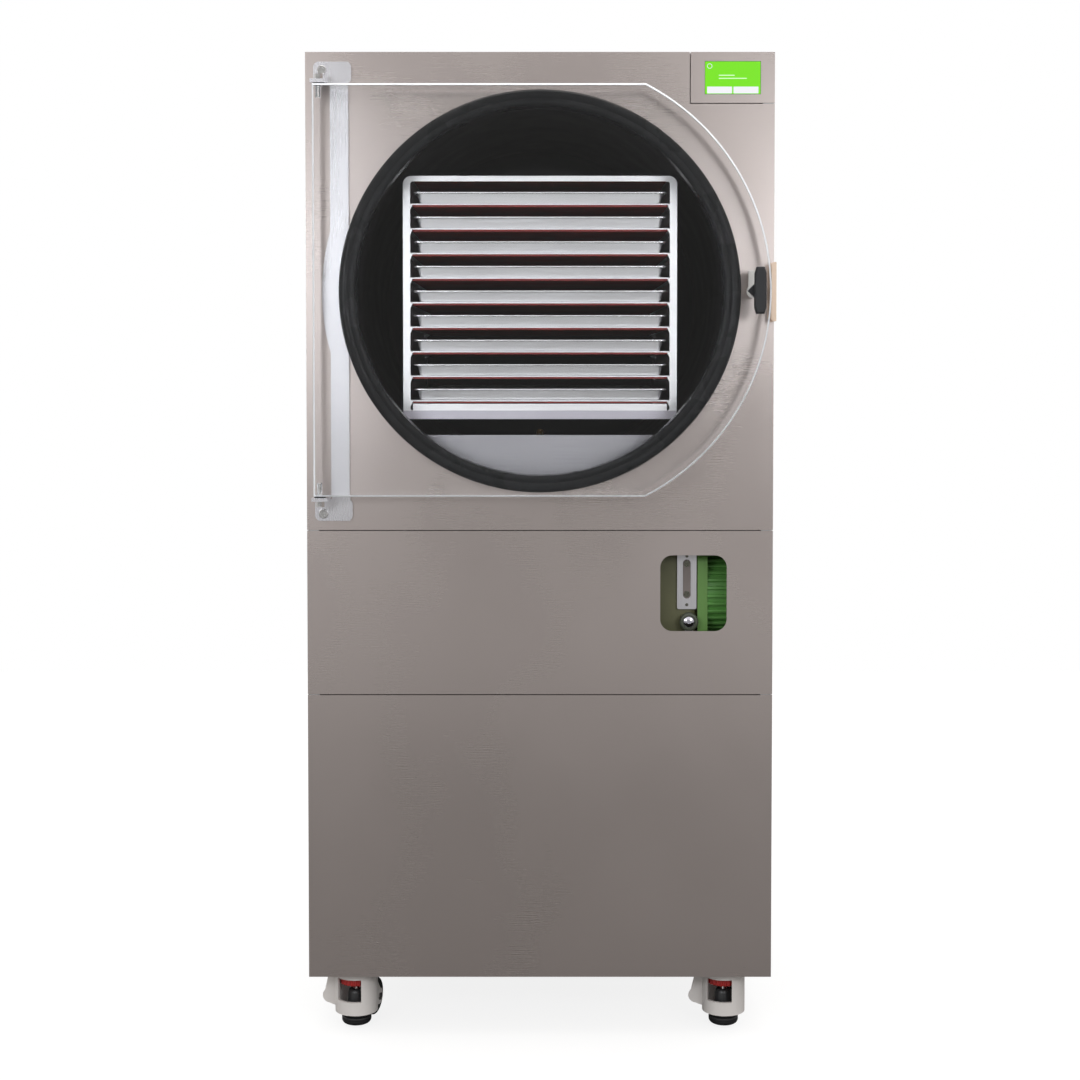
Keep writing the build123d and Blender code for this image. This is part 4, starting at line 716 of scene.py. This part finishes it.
def make_stage():
    """Plain pale floor. The camera sees it near white, with the object's shadow on it."""
    builder = bmesh.new()
    half_side = 3.2
    bmesh.ops.create_grid(builder, x_segments=1, y_segments=1, size=half_side)
    mesh = bpy.data.meshes.new("floor")
    builder.to_mesh(mesh)
    builder.free()
    floor_paint = new_material("floor_paint", (0.15, 0.147, 0.143), 0.0, 0.7)
    tree = floor_paint.node_tree
    shader = tree.nodes["Principled BSDF"]
    varied = ranged(tree, stretched_noise(tree, (1.5, 1.5, 1.5)), 0.65, 0.75)
    tree.links.new(varied, shader.inputs["Roughness"])
    lift = tree.nodes.new("ShaderNodeEmission")
    both = tree.nodes.new("ShaderNodeAddShader")
    tree.links.new(math_node(tree, "MULTIPLY", seen_directly(tree), 0.85), lift.inputs["Strength"])
    tree.links.new(shader.outputs["BSDF"], both.inputs[0])
    tree.links.new(lift.outputs["Emission"], both.inputs[1])
    tree.links.new(both.outputs[0], tree.nodes["Material Output"].inputs["Surface"])
    mesh.materials.append(floor_paint)
    floor = bpy.data.objects.new("floor", mesh)
    bpy.context.scene.collection.objects.link(floor)


def eased(tree, value, start, end, start_value, end_value):
    """start_value up to start, end_value from end on, and a smooth step between."""
    step = tree.nodes.new("ShaderNodeMapRange")
    step.interpolation_type = "SMOOTHSTEP"
    step.inputs["From Min"].default_value = start
    step.inputs["From Max"].default_value = end
    step.inputs["To Min"].default_value = start_value
    step.inputs["To Max"].default_value = end_value
    tree.links.new(value, step.inputs["Value"])
    return step.outputs["Result"]


def make_world():
    """White to the camera. Its light is a soft pale room with a dim patch in front of the door."""
    world = bpy.data.worlds.new("studio")
    bpy.context.scene.world = world
    world.use_nodes = True
    tree = world.node_tree
    room = tree.nodes["Background"]
    coordinates = tree.nodes.new("ShaderNodeTexCoord")
    facing_door = tree.nodes.new("ShaderNodeVectorMath")
    facing_door.operation = "DOT_PRODUCT"
    facing_door.inputs[1].default_value = Vector((0.0, -1.0, 0.045)).normalized()
    tree.links.new(coordinates.outputs["Generated"], facing_door.inputs[0])
    edge, middle_of_patch = math.cos(math.radians(13)), math.cos(math.radians(8))
    patch = eased(tree, facing_door.outputs["Value"], edge, middle_of_patch, 1.0, 0.3)
    height = tree.nodes.new("ShaderNodeSeparateXYZ")
    tree.links.new(coordinates.outputs["Generated"], height.inputs[0])
    sky = eased(tree, height.outputs["Z"], 0.03, 0.42, 0.58, 1.02)
    tree.links.new(math_node(tree, "MULTIPLY", sky, patch), room.inputs["Strength"])
    room.inputs["Color"].default_value = (1.0, 0.99, 0.98, 1)
    white = tree.nodes.new("ShaderNodeBackground")
    white.inputs["Color"].default_value = (1, 1, 1, 1)
    white.inputs["Strength"].default_value = 1.0
    mix = tree.nodes.new("ShaderNodeMixShader")
    tree.links.new(seen_directly(tree), mix.inputs["Fac"])
    tree.links.new(room.outputs[0], mix.inputs[1])
    tree.links.new(white.outputs[0], mix.inputs[2])
    tree.links.new(mix.outputs[0], tree.nodes["World Output"].inputs["Surface"])


def add_lamp(name, place, target, width, height, power, colour=(1, 1, 1)):
    lamp = bpy.data.lights.new(name, "AREA")
    lamp.shape = "RECTANGLE"
    lamp.size, lamp.size_y = width, height
    lamp.energy = power
    lamp.color = colour
    obj = bpy.data.objects.new(name, lamp)
    obj.location = place
    obj.rotation_euler = (Vector(target) - Vector(place)).to_track_quat("-Z", "Y").to_euler()
    bpy.context.scene.collection.objects.link(obj)


make_stage()
make_world()
aim_z = 1.3
add_lamp("window_left", (-1.38, front_y - 2.6, 1.45), (-0.1, front_y, aim_z),
         0.95, 0.48, 12.5, (0.93, 0.96, 1.0))
add_lamp("window_right", (1.4, front_y - 2.6, 1.5), (0.1, front_y, aim_z),
         0.9, 0.48, 12, (0.95, 0.97, 1.0))
add_lamp("top_soft", (0.0, front_y - 0.5, 3.4), (0, front_y, aim_z), 2.0, 1.4, 26)


# ---------------------------------------------------------------- camera
def make_camera():
    """At the height of the chamber's lower half, tilted a little down."""
    distance = 3.0
    eye_z = 1.117
    shift = -0.10
    lens = 60.65
    sensor = 36
    camera = bpy.data.cameras.new("camera")
    camera.lens = lens
    camera.sensor_width = sensor
    camera.shift_y = shift
    obj = bpy.data.objects.new("camera", camera)
    obj.location = (0, front_y - distance, eye_z)
    frame_height = sensor / lens * distance
    raised = 16 * MM   # the photograph has a little more room above the machine than below it
    target_z = (cad_low.z + cad_high.z) / 2 + raised - shift * frame_height
    target = Vector((0, front_y, target_z))
    obj.rotation_euler = (target - obj.location).to_track_quat("-Z", "Y").to_euler()
    bpy.context.scene.collection.objects.link(obj)
    bpy.context.scene.camera = obj


make_camera()
bpy.context.scene.view_settings.view_transform = "Standard"
